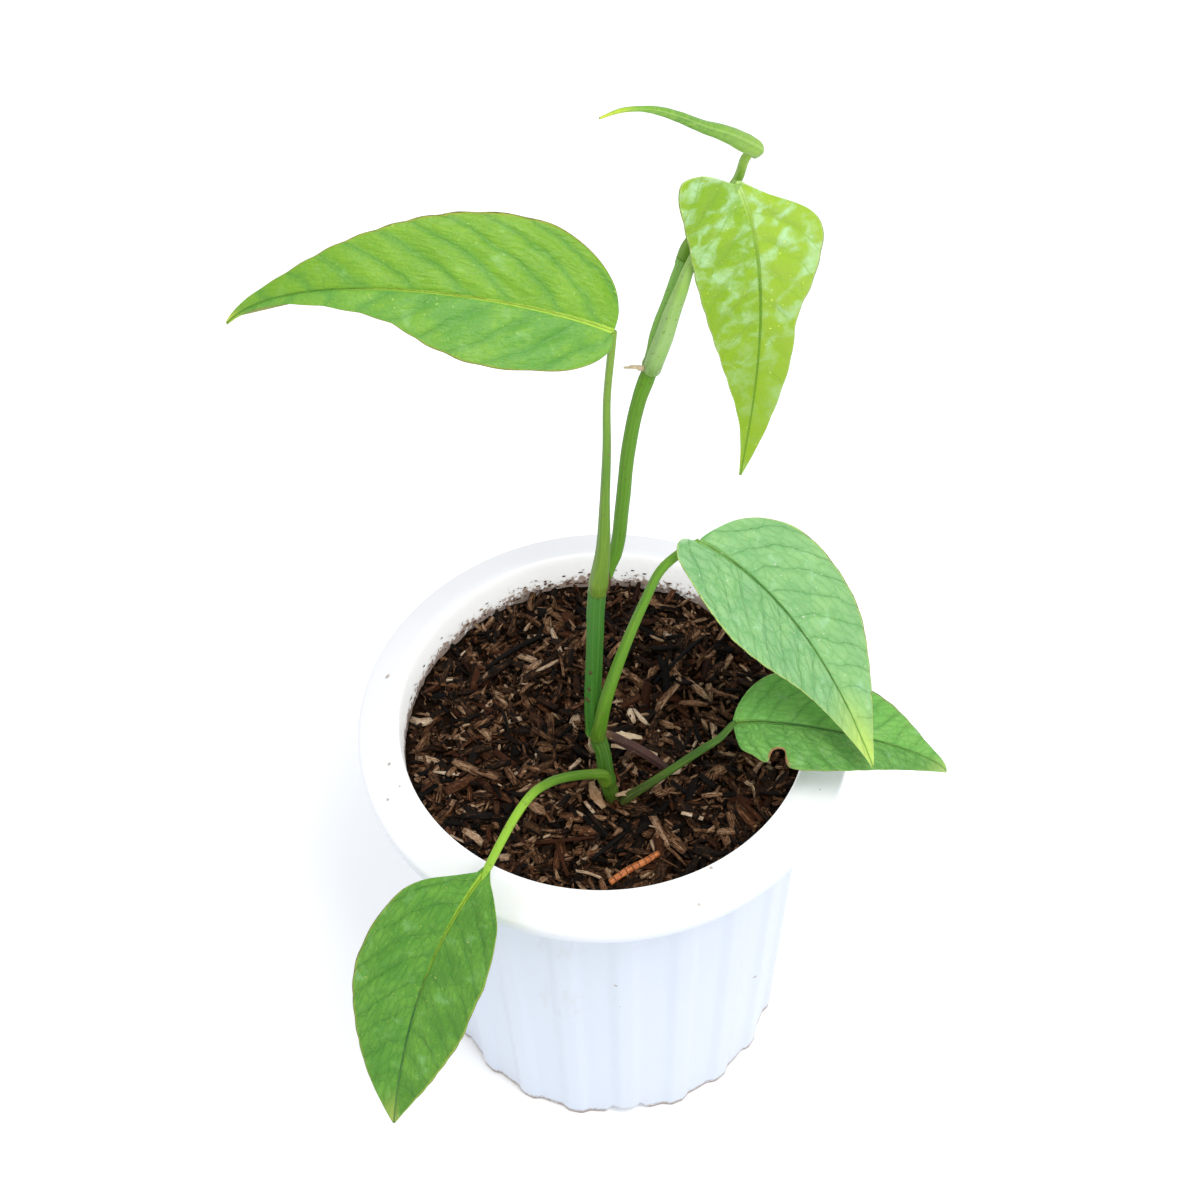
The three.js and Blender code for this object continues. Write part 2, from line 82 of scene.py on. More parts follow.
world = bpy.data.worlds.new("white_room")
world.use_nodes = True
world.node_tree.nodes["Background"].inputs["Color"].default_value = (0.97, 0.985, 1, 1)
world.node_tree.nodes["Background"].inputs["Strength"].default_value = SKY_STRENGTH
scene.world = world

lamp_data = bpy.data.lights.new("softbox", "AREA")
lamp_data.size = LAMP_SIZE
lamp_data.energy = LAMP_POWER
lamp_data.color = (1, 0.99, 0.97)
lamp = bpy.data.objects.new("softbox", lamp_data)
scene.collection.objects.link(lamp)
lamp.location = LAMP_AT
lamp.rotation_euler = (Vector(LAMP_AT) - Vector((0, 0, 0.2))).to_track_quat("Z", "Y").to_euler()


class Wire:
    """One output of a material's nodes. Arithmetic on it adds Math nodes."""

    def __init__(self, tree, socket=None):
        self.tree = tree
        self.socket = socket

    def node(self, kind, settings, sockets, output=0):
        """A new node with its settings and its sockets' values or wires."""
        made = self.tree.nodes.new(kind)
        for key, value in settings.items():
            if key == "stops":
                made.color_ramp.elements.remove(made.color_ramp.elements[1])
                made.color_ramp.elements[0].position = value[0][0]
                made.color_ramp.elements[0].color = (*value[0][1], 1)
                for place, colour in value[1:]:
                    made.color_ramp.elements.new(place).color = (*colour, 1)
            else:
                setattr(made, key, value)
        for key, value in sockets.items():
            if isinstance(value, Wire):
                self.tree.links.new(value.socket, made.inputs[key])
            elif isinstance(value, tuple) and made.inputs[key].type == "RGBA":
                made.inputs[key].default_value = (*value, 1)
            else:
                made.inputs[key].default_value = value
        return Wire(self.tree, made.outputs[output])

    def maths(self, operation, first, second=0.0):
        return self.node("ShaderNodeMath", {"operation": operation}, {0: first, 1: second})

    def size(self):
        return self.maths("ABSOLUTE", self)

    def from_middle(self):
        """How far the decimals of this value are from a half: 0.5 at each whole number."""
        return (self.maths("FRACT", self) - 0.5).size()

    def __add__(self, other):
        return self.maths("ADD", self, other)

    def __sub__(self, other):
        return self.maths("SUBTRACT", self, other)

    def __rsub__(self, other):
        return self.maths("SUBTRACT", other, self)

    def __mul__(self, other):
        return self.maths("MULTIPLY", self, other)

    def __truediv__(self, other):
        return self.maths("DIVIDE", self, other)

    def band(self, low, high):
        """0 below low and 1 above high, eased between them."""
        sockets = {"Value": self, "From Min": low, "From Max": high}
        return self.node("ShaderNodeMapRange", {"interpolation_type": "SMOOTHSTEP"}, sockets)

    def mixed(self, under, over):
        """The colour under where this mask is 0 and the colour over where it is 1."""
        return self.node("ShaderNodeMix", {"data_type": "RGBA"}, {0: self, 6: under, 7: over}, 2)

    def scaled(self, factors):
        settings = {"operation": "MULTIPLY"}
        return self.node("ShaderNodeVectorMath", settings, {0: self, 1: factors})

    def part(self, axis):
        return self.node("ShaderNodeSeparateXYZ", {}, {0: self}, axis)

    def distance(self, where):
        settings = {"operation": "DISTANCE"}
        return self.node("ShaderNodeVectorMath", settings, {0: self, 1: where}, 1)

    def blotches(self, scale, detail=3.0, distortion=0.0):
        sockets = {"Vector": self, "Scale": scale, "Detail": detail, "Distortion": distortion}
        return self.node("ShaderNodeTexNoise", {}, sockets)

    def colours(self, stops):
        return self.node("ShaderNodeValToRGB", {"stops": stops}, {0: self})

    def spot(self):
        """The place on the object, in metres."""
        return self.node("ShaderNodeTexCoord", {}, {}, 3)

    def layer(self, name):
        """The place in one of the mesh's own UV maps."""
        return self.node("ShaderNodeUVMap", {"uv_map": name}, {})


def new_finish(name, **fixed):
    """A material and the start of its nodes. fixed holds what is the same all over it."""
    finish = bpy.data.materials.new(name)
    finish.use_nodes = True
    shader = finish.node_tree.nodes["Principled BSDF"]
    for socket, value in fixed.items():
        shader.inputs[socket.replace("_", " ")].default_value = value
    return finish, Wire(finish.node_tree)


def feed(finish, **wires):
    """Leads wires to the sockets of the shader that they are named after."""
    shader = finish.node_tree.nodes["Principled BSDF"]
    for socket, wire in wires.items():
        finish.node_tree.links.new(wire.socket, shader.inputs[socket.replace("_", " ")])


def bumped(height, distance):
    """A Normal that stands height (0 to 1) proud by distance, in metres."""
    return height.node("ShaderNodeBump", {}, {"Height": height, "Distance": distance})


def as_piece(bm, name, finish):
    """Writes a bmesh in millimetres into a smooth-shaded object in metres."""
    bmesh.ops.scale(bm, vec=(0.001, 0.001, 0.001), verts=bm.verts)
    mesh = bpy.data.meshes.new(name)
    bm.to_mesh(mesh)
    bm.free()
    mesh.shade_smooth()
    mesh.materials.append(finish)
    piece = bpy.data.objects.new(name, mesh)
    scene.collection.objects.link(piece)
    return piece


table_finish, start = new_finish("table_white", Roughness=0.6, Emission_Strength=TABLE_GLOW)
spot = start.spot()
feed(table_finish, Base_Color=spot.blotches(3).mixed((0.93, 0.94, 0.955), (0.95, 0.955, 0.97)))
bm = bmesh.new()
bmesh.ops.create_grid(bm, x_segments=1, y_segments=1, size=TABLE_HALF)
table = as_piece(bm, "table", table_finish)
table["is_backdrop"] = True

# Pot. One injection-moulded shell of white polypropylene with 20 flat ribs outside, a rolled
# flange round its mouth, and four drainage channels pressed up into its base, which end as
# notches in the foot. Each channel has a slot through its roof.
RIB_TURN = 4
RIB_SPACING = 18
RIB_STAND = 1.5
WALL_TAPER = 0.068
INNER_FOOT = 55.1
OUTER_FOOT = 57.9
BASE_THICKNESS = 1.6
CHANNEL_HEIGHT = 5
CHANNEL_START = 20
SLOT_SPAN = (28, 44)
SLOT_HALF_TURN = 4
CHANNEL_FADE = 12
CHANNEL_TURNS = [math.radians(RIB_TURN + 90 * k) for k in range(4)]
POT_SEGMENTS = 480
# Outside heights of the wall, then (radius, height, reach of the easing) round the flange.
WALL_HEIGHTS = [2, 3.5, 5, 6.5, 8, 10, 12, 16, 24, 40, 60, 80, 100]
WALL_HEIGHTS += [120, 132, 140, 142.5, 144, 145.5, 147, 148.5]
FLANGE = [(78.3, 153, 0.8), (78.6, 151, 0.3), (79.7, 151, 0.5), (80, 155.4, 1.2)]
FLANGE += [(74, 158.6, 0), (69.5, 161.1, 1.5), (66.6, 161.6, 0.9), (65.9, 158.5, 0)]
BASE_RINGS = [4, 10, 16, 19, 21, 23, 25, SLOT_SPAN[0], 33, 38, SLOT_SPAN[1], 48, 52]


def smooth(value, low, high):
    """Eases from 0 at low to 1 at high."""
    part = min(max((value - low) / (high - low), 0), 1)
    return part * part * (3 - 2 * part)


def bell(off, width):
    """1 where off is 0, falling away on both sides of it over width."""
    return math.exp(-((off / width) ** 2))


def inner_radius(z):
    """The radius of the pot's wall inside, at a height."""
    return INNER_FOOT + WALL_TAPER * z


def outer_radius(z):
    """The radius of the ribs' backs outside, at a height."""
    return OUTER_FOOT + WALL_TAPER * z


def eased_corners(corners, steps=4):
    """The points of a profile whose corners (r, z, reach) are eased over their reach."""
    points = []
    for k, (r, z, reach) in enumerate(corners):
        here = Vector((r, z))
        if reach == 0 or k in (0, len(corners) - 1):
            points.append(here)
            continue
        before = (Vector(corners[k - 1][:2]) - here).normalized() * reach + here
        after = (Vector(corners[k + 1][:2]) - here).normalized() * reach + here
        for i in range(steps + 1):
            t = i / steps
            points.append(before * (1 - t) ** 2 + here * 2 * t * (1 - t) + after * t * t)
    return points


def channel_rise(x, y):
    """How far the base is pressed up at a place, by the nearest of the four channels."""
    rise = 0
    for turn in CHANNEL_TURNS:
        along = x * math.sin(turn) - y * math.cos(turn)
        aside = abs(x * math.cos(turn) + y * math.sin(turn))
        here = (1 - smooth(aside, 4.5, 8.5)) * smooth(along, CHANNEL_START, CHANNEL_START + 5)
        rise = max(rise, CHANNEL_HEIGHT * here)
    return rise


def closed(bm, seam=0.0005):
    """Joins the seams of a skin, fills its open ends and turns its faces outwards."""
    bmesh.ops.remove_doubles(bm, verts=bm.verts, dist=seam)
    bmesh.ops.holes_fill(bm, edges=[edge for edge in bm.edges if edge.is_boundary])
    bmesh.ops.recalc_face_normals(bm, faces=bm.faces)
    return bm


def turned(points, steps):
    """A closed body turned about the Z axis from a profile of (radius, height) points."""
    bm = bmesh.new()
    outline = [bm.verts.new((r, 0, z)) for r, z in points]
    edges = [bm.edges.new(pair) for pair in zip(outline, outline[1:])]
    whole_turn = {"axis": (0, 0, 1), "cent": (0, 0, 0), "angle": 2 * math.pi, "use_merge": True}
    bmesh.ops.spin(bm, geom=outline + edges, steps=steps, **whole_turn)
    return closed(bm, 0.001)


corners = [(0, 0, 0)] + [(r, 0, 0) for r in BASE_RINGS] + [(OUTER_FOOT, 0, 0.8)]
corners += [(outer_radius(z), z, 0) for z in WALL_HEIGHTS]
corners += [(outer_radius(150) - 0.6, 150, 0), (outer_radius(156.5) - 0.8, 156.5, 1.2)] + FLANGE
corners += [(inner_radius(z), z, 0) for z in (150, 140, 120, 90, 60, 30, 12, 8)]
corners += [(inner_radius(BASE_THICKNESS), BASE_THICKNESS, 1.5)]
corners += [(r, BASE_THICKNESS, 0) for r in reversed([0] + BASE_RINGS)]
bm = turned(eased_corners(corners), POT_SEGMENTS)


def is_slot(face):
    """Whether a face of either floor lies in one of the four drainage slots."""
    middle = face.calc_center_median()
    turn = math.degrees(math.atan2(middle.x, -middle.y)) - RIB_TURN
    aside = abs((turn + 45) % 90 - 45)
    inside = SLOT_SPAN[0] < middle.xy.length < SLOT_SPAN[1]
    return middle.z < 3 and inside and aside < SLOT_HALF_TURN


bmesh.ops.delete(bm, geom=[face for face in bm.faces if is_slot(face)], context="FACES")
rims = [edge for edge in bm.edges if edge.is_boundary]
for turn in CHANNEL_TURNS:
    heading = Vector((math.sin(turn), -math.cos(turn), 0))
    near = [edge for edge in rims if edge.verts[0].co.normalized().dot(heading) > 0.9]
    bmesh.ops.bridge_loops(bm, edges=near)
for vert in bm.verts:
    x, y, z = vert.co
    radius = math.hypot(x, y)
    turn = math.degrees(math.atan2(x, -y))
    if z < 156 and radius > inner_radius(z) + 1.5 and radius < outer_radius(z) + 0.1:
        aside = abs((turn - RIB_TURN + RIB_SPACING / 2) % RIB_SPACING - RIB_SPACING / 2)
        full = (1 - smooth(z, 143, 149.5)) * 0.85 + (1 - smooth(z, 148, 156)) * 0.15
        shrunk = radius - RIB_STAND * smooth(aside, 1.6, 5.6) * full
        vert.co.x *= shrunk / radius
        vert.co.y *= shrunk / radius
    if z < CHANNEL_FADE:
        vert.co.z += channel_rise(x, y) * (1 - z / CHANNEL_FADE)

pot_finish, start = new_finish("pot_white", IOR=1.5, Emission_Strength=0.3)
spot = start.spot()
height = spot.part(2)
clouds = spot.blotches(18, 4)
# Painted shade: the wall's two whites are darker and bluer than the plastic itself.
colour = clouds.mixed((0.6, 0.66, 0.77), (0.665, 0.715, 0.81))
# The wall's darker, bluer white is painted shade, and the flange is painted a purer white as the
# lit top of the same plastic. The inside is painted whiter still and given a painted glow, in
# place of the light that comes through the thin wall.
level = spot.scaled((1, 1, 0))
at_foot = level.distance((0, 0, 0)) - height * WALL_TAPER
inside = 1 - at_foot.band((INNER_FOOT + 0.5) / 1000, (INNER_FOOT + 1.1) / 1000)
inside = inside * height.band(0.1, 0.12)
colour = height.band(0.15, 0.157).mixed(colour, (0.84, 0.845, 0.87))
colour = inside.mixed(colour, (0.93, 0.93, 0.94))


def round_spot(where, reach, raggedness, scale=160):
    """A mask for a ragged spot of a reach in metres about a place."""
    off = spot.distance(where) + (spot.blotches(scale, 4) - 0.5) * (reach * 2 * raggedness)
    return 1 - off.band(reach * 0.7, reach)


# A faint yellow stain on the flange at the front, where water has run over it.
stain = round_spot((-0.0205, -0.0738, 0.1575), 0.019, 0.5) * spot.blotches(260, 5).band(0.35, 0.7)
colour = (stain * 0.16).mixed(colour, (0.82, 0.72, 0.58))
SPECKS = [
    ((-0.0701, 0.0201, 0.1588), 0.0011), ((-0.069, -0.0157, 0.1599), 0.0008),
    ((-0.0656, -0.0245, 0.1602), 0.0007), ((-0.0696, -0.0278, 0.1579), 0.0006),
    ((0.0322, -0.0596, 0.1613), 0.0007), ((0.028, -0.0706, 0.1574), 0.0006),
    ((-0.0259, -0.0764, 0.1551), 0.0007), ((0.0684, -0.0294, 0.1581), 0.0005),
    ((0.0014, -0.0639, 0.0993), 0.0009), ((0.0025, -0.0629, 0.0847), 0.0007),
    ((0.0491, -0.036, 0.0542), 0.0009), ((-0.0283, -0.0574, 0.0997), 0.0009),
]
for where, reach in SPECKS:
    colour = (round_spot(where, reach, 0.6, 900) * 0.75).mixed(colour, (0.3, 0.24, 0.17))
# Grey smears of wiped soil on the wall, and a brown line of dried soil round the foot.
SMEARS = [((-0.0178, -0.0632, 0.1242), 0.012), ((-0.0173, -0.0606, 0.0852), 0.013)]
for where, reach in SMEARS:
    smear = round_spot(where, reach, 0.9, 90) * spot.scaled((1, 1, 0.25)).blotches(420, 5)
    colour = (smear.band(0.4, 0.75) * 0.22).mixed(colour, (0.5, 0.47, 0.42))
grains = spot.blotches(700, 5)
line = (1 - (height + (grains - 0.5) * 0.005).band(0.0012, 0.0034)) * grains.band(0.25, 0.5)
colour = (line * 0.85).mixed(colour, (0.2, 0.12, 0.06))
film = (1 - height.band(0.001, 0.022)) * clouds.band(0.4, 0.75)
colour = (film * 0.16).mixed(colour, (0.55, 0.47, 0.36))
# Brown dust on the inner wall, thickest just over the mix at the back.
dust = grains * 0.6 + spot.blotches(160, 3) * 0.4 - (height - 0.147) * 42 + spot.part(1) * 0.8
dusty = inside * dust.band(0.36, 0.5)
colour = (dusty * 0.75).mixed(colour, (0.32, 0.15, 0.065))
# The inside's emission colour is a painted glow, held back where dust lies.
feed(
    pot_finish,
    Base_Color=colour,
    Emission_Color=(inside - dusty * 0.9).mixed((0, 0, 0), (1, 0.99, 0.97)),
    Roughness=clouds * 0.14 + 0.24,
    Normal=bumped(spot.blotches(900, 3) * 0.5 + spot.blotches(60, 2), 0.00012),
)
pot = as_piece(bm, "fluted_pot", pot_finish)
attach(pot, "root")
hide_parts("pot")

# Potting mix. Bark flakes and coir that fill the pot to a low mound, sunk beside the wall at the
# back right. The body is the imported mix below. Its top lies just under the loose flakes.
MIX_LEVEL = 147.5
MIX_FLOOR = 7.2
MOUND_HEIGHT = 1.6
MOUND_RADIUS = 65.13
HOLLOW_AT = (48, 42)
HOLLOW_DEPTH = 7
HOLLOW_REACH = 13
PACKED_BELOW = 1.6


def mix_height(x, y):
    """The height of the mix at a place: a mound with low waves and the sunk hollow."""
    from_hollow = math.hypot(x - HOLLOW_AT[0], y - HOLLOW_AT[1])
    mound = MOUND_HEIGHT * (1 - (math.hypot(x, y) / MOUND_RADIUS) ** 2)
    waves = 0.8 * math.sin(x / 6.1 + 0.7) * math.cos(y / 7.3) + 0.6 * math.sin(x / 3.7 - y / 4.9)
    hollow = HOLLOW_DEPTH * bell(from_hollow, HOLLOW_REACH)
    return MIX_LEVEL + mound + waves - hollow


profile = [(i * 1.3, MIX_LEVEL) for i in range(51)]
profile += [(inner_radius(z) - 0.35, z) for z in (144, 120, 80, 40, 8)]
profile += [(inner_radius(8) - 1.5, MIX_FLOOR), (0, MIX_FLOOR)]
bm = turned(profile, 240)
for vert in bm.verts:
    if vert.co.z > MIX_LEVEL - 1.5:
        lumps = noise.noise(vert.co * 0.45) * 1.1 + noise.noise(vert.co * 1.3) * 0.5
        vert.co.z = mix_height(vert.co.x, vert.co.y) - PACKED_BELOW + lumps

mix_finish, start = new_finish("mix_dark", Roughness=0.9, Specular_IOR_Level=0.04)
spot = start.spot()
crumbs = spot.blotches(900, 6)
# Its near-black colour is partly the dark mix and partly painted shade for the deep gaps between
# the loose flakes over it.
colour = crumbs.colours([(0.3, (0.002, 0.0015, 0.001)), (0.65, (0.02, 0.01, 0.005))])
feed(mix_finish, Base_Color=colour, Normal=bumped(crumbs, 0.0012))
mix = as_piece(bm, "packed_mix", mix_finish)
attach(mix, "root")
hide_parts("potting_mix")

# Loose bark. Flakes of split bark, 3 to 13 mm long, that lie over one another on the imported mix,
# with crumbs between them and a few dried on the wall behind. Each is a bar of three bent lengths.
FLAKES = 3000
CRUMBS = 2400
WALL_CRUMBS = 120
BARK_RADIUS = 63
BARK_LIMIT = 64.3
VINE_FOOT = (2, -22.5)
VINE_CLEARANCE = 3.2
draw = random.Random(7)

blank = bmesh.new()
bmesh.ops.create_grid(blank, x_segments=3, y_segments=4, size=0.5)
half_diagonal = math.sqrt(0.5)
for vert in blank.verts:
    angle = 2 * math.pi * (vert.co.y + 0.5) + math.pi / 4
    across, up = math.cos(angle) * half_diagonal, math.sin(angle) * half_diagonal
    vert.co = Vector((vert.co.x, across, up))
closed(blank)
blank_mesh = bpy.data.meshes.new("blank")
blank.to_mesh(blank_mesh)
blank_size = len(blank.verts)
blank.free()


def mix_place():
    """A random place on the mix, clear of the vine's foot."""
    while True:
        x = draw.uniform(-BARK_RADIUS, BARK_RADIUS)
        y = draw.uniform(-BARK_RADIUS, BARK_RADIUS)
        from_vine = math.hypot(x - VINE_FOOT[0], y - VINE_FOOT[1])
        if math.hypot(x, y) < BARK_RADIUS and from_vine > VINE_CLEARANCE:
            return x, y


loose = []
for k in range(FLAKES + CRUMBS):
    is_crumb = k >= FLAKES
    x, y = mix_place()
    length = draw.uniform(0.8, 2.8) if is_crumb else 3 + 9.5 * draw.random() ** 1.7
    width = draw.uniform(0.4, 1.5) if is_crumb else length * draw.uniform(0.1, 0.4)
    thickness = draw.uniform(0.4, 1.1) if is_crumb else draw.uniform(0.3, 1.1)
    reach = BARK_LIMIT - length * 0.5
    far = math.hypot(x, y)
    if far > reach:
        x, y = x * reach / far, y * reach / far
    lift = draw.uniform(-2.2, 1.3 if is_crumb else 1.8)
    place = Vector((x, y, mix_height(x, y) + lift))
    tilt = Vector((draw.gauss(0, 0.34), draw.gauss(0, 0.34), 1))
    tone = draw.gauss(0.3, 0.18) if draw.random() < 0.95 else draw.uniform(0.5, 0.85)
    loose.append((place, tilt, length, width, thickness, min(max(tone, 0), 1), None))
for k in range(WALL_CRUMBS):
    turn = math.radians(draw.gauss(185, 32))
    z = 148 + 7 * draw.random() ** 2.4
    far = inner_radius(z) - 0.4
    place = Vector((far * math.sin(turn), -far * math.cos(turn), z))
    tilt = Vector((-math.sin(turn), math.cos(turn), 0))
    sizes = draw.uniform(0.3, 1.5), draw.uniform(0.2, 0.6), 0.25
    loose.append((place, tilt, *sizes, draw.uniform(0.3, 0.65), None))
# The flakes that stand out: both ends (x, y), then width, thickness and tone.
STANDING_OUT = [
    ((-40.9, 27.6), (-18.5, 43.2), 1.7, 1.2, 0.02), ((-44, 22), (-30, 31), 3, 1, 0.22),
    ((17.4, 20.4), (34, 38.5), 1.3, 1, 0.02), ((14.6, 34.4), (25.6, 34.4), 2.2, 1.3, 0.05),
    ((-23.9, -40.9), (-1.6, -38.7), 1.2, 1, 0.03), ((-16.3, -40.5), (-13, -53.4), 1.4, 1, 0.06),
    ((-5.6, -49.2), (7.4, -37.6), 1.4, 1.1, 0.02), ((27.1, 22.9), (34.6, 12.8), 2.6, 0.9, 0.66),
    ((8.5, 9), (10, 3.3), 2.4, 0.8, 0.86), ((9.8, 8.6), (14.5, 2), 1.9, 0.8, 0.9),
    ((25.3, 12), (34.2, 10.8), 2.4, 0.8, 0.56), ((-45.9, -34.8), (-39.6, -40.3), 3, 0.8, 0.74),
    ((-25, -25.6), (-19.6, -30.4), 4, 0.9, 0.6), ((30.9, -25.8), (37.4, -25.3), 2, 0.9, 0.55),
    ((-9.8, -51.7), (-2, -54.6), 1.1, 0.7, 0.78), ((-43.6, -11.2), (-33.9, -15.5), 2.8, 0.9, 0.6),
    ((-45.9, -29.8), (-36.6, -30.5), 2.4, 1.1, 0.12),
]
for (x0, y0), (x1, y1), width, thickness, tone in STANDING_OUT:
    x, y = (x0 + x1) / 2, (y0 + y1) / 2
    heading = Vector((x1 - x0, y1 - y0, mix_height(x1, y1) - mix_height(x0, y0)))
    place = Vector((x, y, mix_height(x, y) + 2.2))
    loose.append((place, Vector((0, 0, 1)), heading.length, width, thickness, tone, heading))

bm = bmesh.new()
tone_layer = bm.loops.layers.float_color.new("tone")
grain_layer = bm.loops.layers.float_color.new("grain")
for flake in loose:
    bm.from_mesh(blank_mesh)
bm.verts.ensure_lookup_table()
for k, (place, tilt, length, width, thickness, tone, heading) in enumerate(loose):
    up = tilt.normalized()
    heading = heading or Vector((draw.uniform(-1, 1), draw.uniform(-1, 1), 0))
    along = (heading - up * heading.dot(up)).normalized()
    across = up.cross(along)
    bend, curl, taper = draw.gauss(0, 0.09), draw.gauss(0, 0.12), draw.uniform(0.3, 1.5)
    hue = draw.random()
    for vert in bm.verts[k * blank_size : (k + 1) * blank_size]:
        s, a, t = vert.co
        end = 1 - taper * abs(s + draw.uniform(-0.1, 0.1))
        point = place + along * length * (s + draw.uniform(-0.06, 0.06))
        point += across * (a * width * end * draw.uniform(0.75, 1.15) + curl * length * s * s)
        vert.co = point + up * (t * thickness * draw.uniform(0.7, 1.2) + bend * length * s * s * 2)
        for loop in vert.link_loops:
            loop[tone_layer] = (tone, hue, 0, 1)
            loop[grain_layer] = (s * length * 0.1, (a + t) * width * 0.1, hue * 20, 1)
for vert in bm.verts:
    far = vert.co.xy.length
    limit = inner_radius(vert.co.z) - 0.05
    if far > limit:
        vert.co.x *= limit / far
        vert.co.y *= limit / far

bark_finish, start = new_finish("bark", Specular_IOR_Level=0.12)
spot = start.spot()
drawn = start.node("ShaderNodeAttribute", {"attribute_name": "tone"}, {}, 0)
lengthwise = start.node("ShaderNodeAttribute", {"attribute_name": "grain"}, {}, 0)
fibre = lengthwise.scaled((3, 28, 1)).blotches(1, 4, 0.3)
pits = spot.blotches(1000, 5, 0.4)
shade = drawn.part(0) + (pits - 0.5) * 0.55 + (fibre - 0.5) * 1.1
BARK_TONES = [
    (0, (0.0012, 0.0008, 0.0005)), (0.18, (0.005, 0.0024, 0.0012)),
    (0.34, (0.032, 0.013, 0.0048)), (0.48, (0.125, 0.056, 0.024)), (0.62, (0.27, 0.145, 0.075)),
    (0.8, (0.48, 0.33, 0.21)), (0.96, (0.68, 0.54, 0.4)),
]
colour = shade.colours(BARK_TONES)
colour = (drawn.part(1).band(0.7, 1) * 0.4).mixed(colour, (0.11, 0.03, 0.008))
feed(
    bark_finish,
    Base_Color=colour,
    Roughness=pits * 0.3 + 0.42,
    Normal=bumped(pits * 0.6 + fibre, 0.0007),
)
bark = as_piece(bm, "loose_bark", bark_finish)
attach(bark, "root")

# Vine. One living stem, green and finely ridged along its length, that climbs from its buried
# foot in five lengths. At each node the stem thickens and kinks, and carries a ring scar.
VINE = [
    (4, -21, 98, 1.8), (3, -22, 112, 3.1), (2.5, -22.5, 130, 2.5), (2, -23, 148.5, 2.6),
    (0.5, -24, 160, 2.7), (-0.5, -20, 169.5, 2.4), (-2.5, -16, 175.5, 3), (-3, -13, 188.5, 2.7),
    (-2, -9.5, 210, 2.6), (-1, -6, 230, 2.75), (0, -4, 236.5, 3.1), (3, -0.5, 241, 2.4),
    (5.5, 1.5, 246, 2.1), (8, 5.5, 265.5, 2.1), (10, 10, 283, 2.1), (13.5, 15, 300, 2.15),
    (17.5, 19.5, 310.5, 2.6), (19.5, 22, 322, 2.1), (23, 24.5, 332.5, 2.05), (27.5, 28, 346, 2.3),
]
# The places along the vine of its nodes, counted in its points.
VINE_NODES = [4, 6, 10, 16, 19]


def curve_point(points, place):
    """A point at place (0 to the last index) of a smooth curve through (x, y, z, r) points."""
    k = min(int(place), len(points) - 2)
    t = place - k
    near, far = Vector(points[k][:3]), Vector(points[k + 1][:3])
    before = Vector(points[k - 1][:3]) if k > 0 else near * 2 - far
    after = Vector(points[k + 2][:3]) if k + 2 < len(points) else far * 2 - near
    d0, d1, d2 = [math.sqrt((b - a).length) for a, b in ((before, near), (near, far), (far, after))]
    leave = (near - before) / d0 - (far - before) / (d0 + d1) + (far - near) / d1
    reach = (far - near) / d1 - (after - near) / (d1 + d2) + (after - far) / d2
    leave, reach = leave * d1, reach * d1
    bent = (near - far) * 2 + leave + reach
    slack = (far - near) * 3 - leave * 2 - reach
    radius = points[k][3] + (points[k + 1][3] - points[k][3]) * t
    return near + leave * t + slack * t * t + bent * t**3, radius


def curve_frames(points, rows):
    """Rows of (centre, radius, along, side, other) down a curve, without twist."""
    centres = [curve_point(points, (len(points) - 1) * i / rows) for i in range(rows + 1)]
    side = Vector((0.2, -1, 0.1))
    frames = []
    for i, (centre, radius) in enumerate(centres):
        along = (centres[min(i + 1, rows)][0] - centres[max(i - 1, 0)][0]).normalized()
        side = (side - along * side.dot(along)).normalized()
        frames.append((centre, radius, along, side, side.cross(along)))
    return frames


def as_is(row, turn):
    """The plain UV map of a stem: U along it and V round it."""
    return row, turn


def skin(rows, around, shape, **maps):
    """A closed skin from a grid that shape(row, turn) bends round, both from 0 to 1. maps are
    its UV maps by name, each a function of row and turn too."""
    bm = bmesh.new()
    bmesh.ops.create_grid(bm, x_segments=rows, y_segments=around, size=0.5)
    layers = [(bm.loops.layers.uv.new(name), at) for name, at in maps.items()]
    places = {vert: (vert.co.x + 0.5, vert.co.y + 0.5) for vert in bm.verts}
    for vert, place in places.items():
        vert.co = shape(*place)
    for face in bm.faces:
        for loop in face.loops:
            for layer, at in layers:
                loop[layer].uv = at(*places[loop.vert])
    return closed(bm)


def stem_skin(points, rows, around, relief):
    """A round stem along points. relief(place, turn) is a factor on its radius."""
    frames = curve_frames(points, rows)

    def shape(row, turn):
        centre, radius, along, side, other = frames[round(row * rows)]
        radius *= relief(row * (len(points) - 1), turn)
        angle = 2 * math.pi * turn
        return centre + (side * math.sin(angle) + other * math.cos(angle)) * radius

    return skin(rows, around, shape, skin=as_is)


def rough(x, y, z):
    """Smooth noise from -1 to 1 at a place."""
    return noise.noise(Vector((x, y, z)))


def vine_relief(place, turn):
    """Fine ridges, a raised ring at each node over a narrower waist, and lumps."""
    ridges = 0.05 * math.sin(2 * math.pi * (11 * turn + 0.11 * place)) * smooth(place, 3, 4)
    ring = 0
    for node in VINE_NODES:
        ring += 0.09 * bell(place - node, 0.1)
        ring -= 0.07 * bell(place - node + 0.28, 0.12)
    lumps = 0.05 * rough(place * 2.1, math.cos(2 * math.pi * turn), 0)
    return 1 + ridges + ring + lumps - 0.02


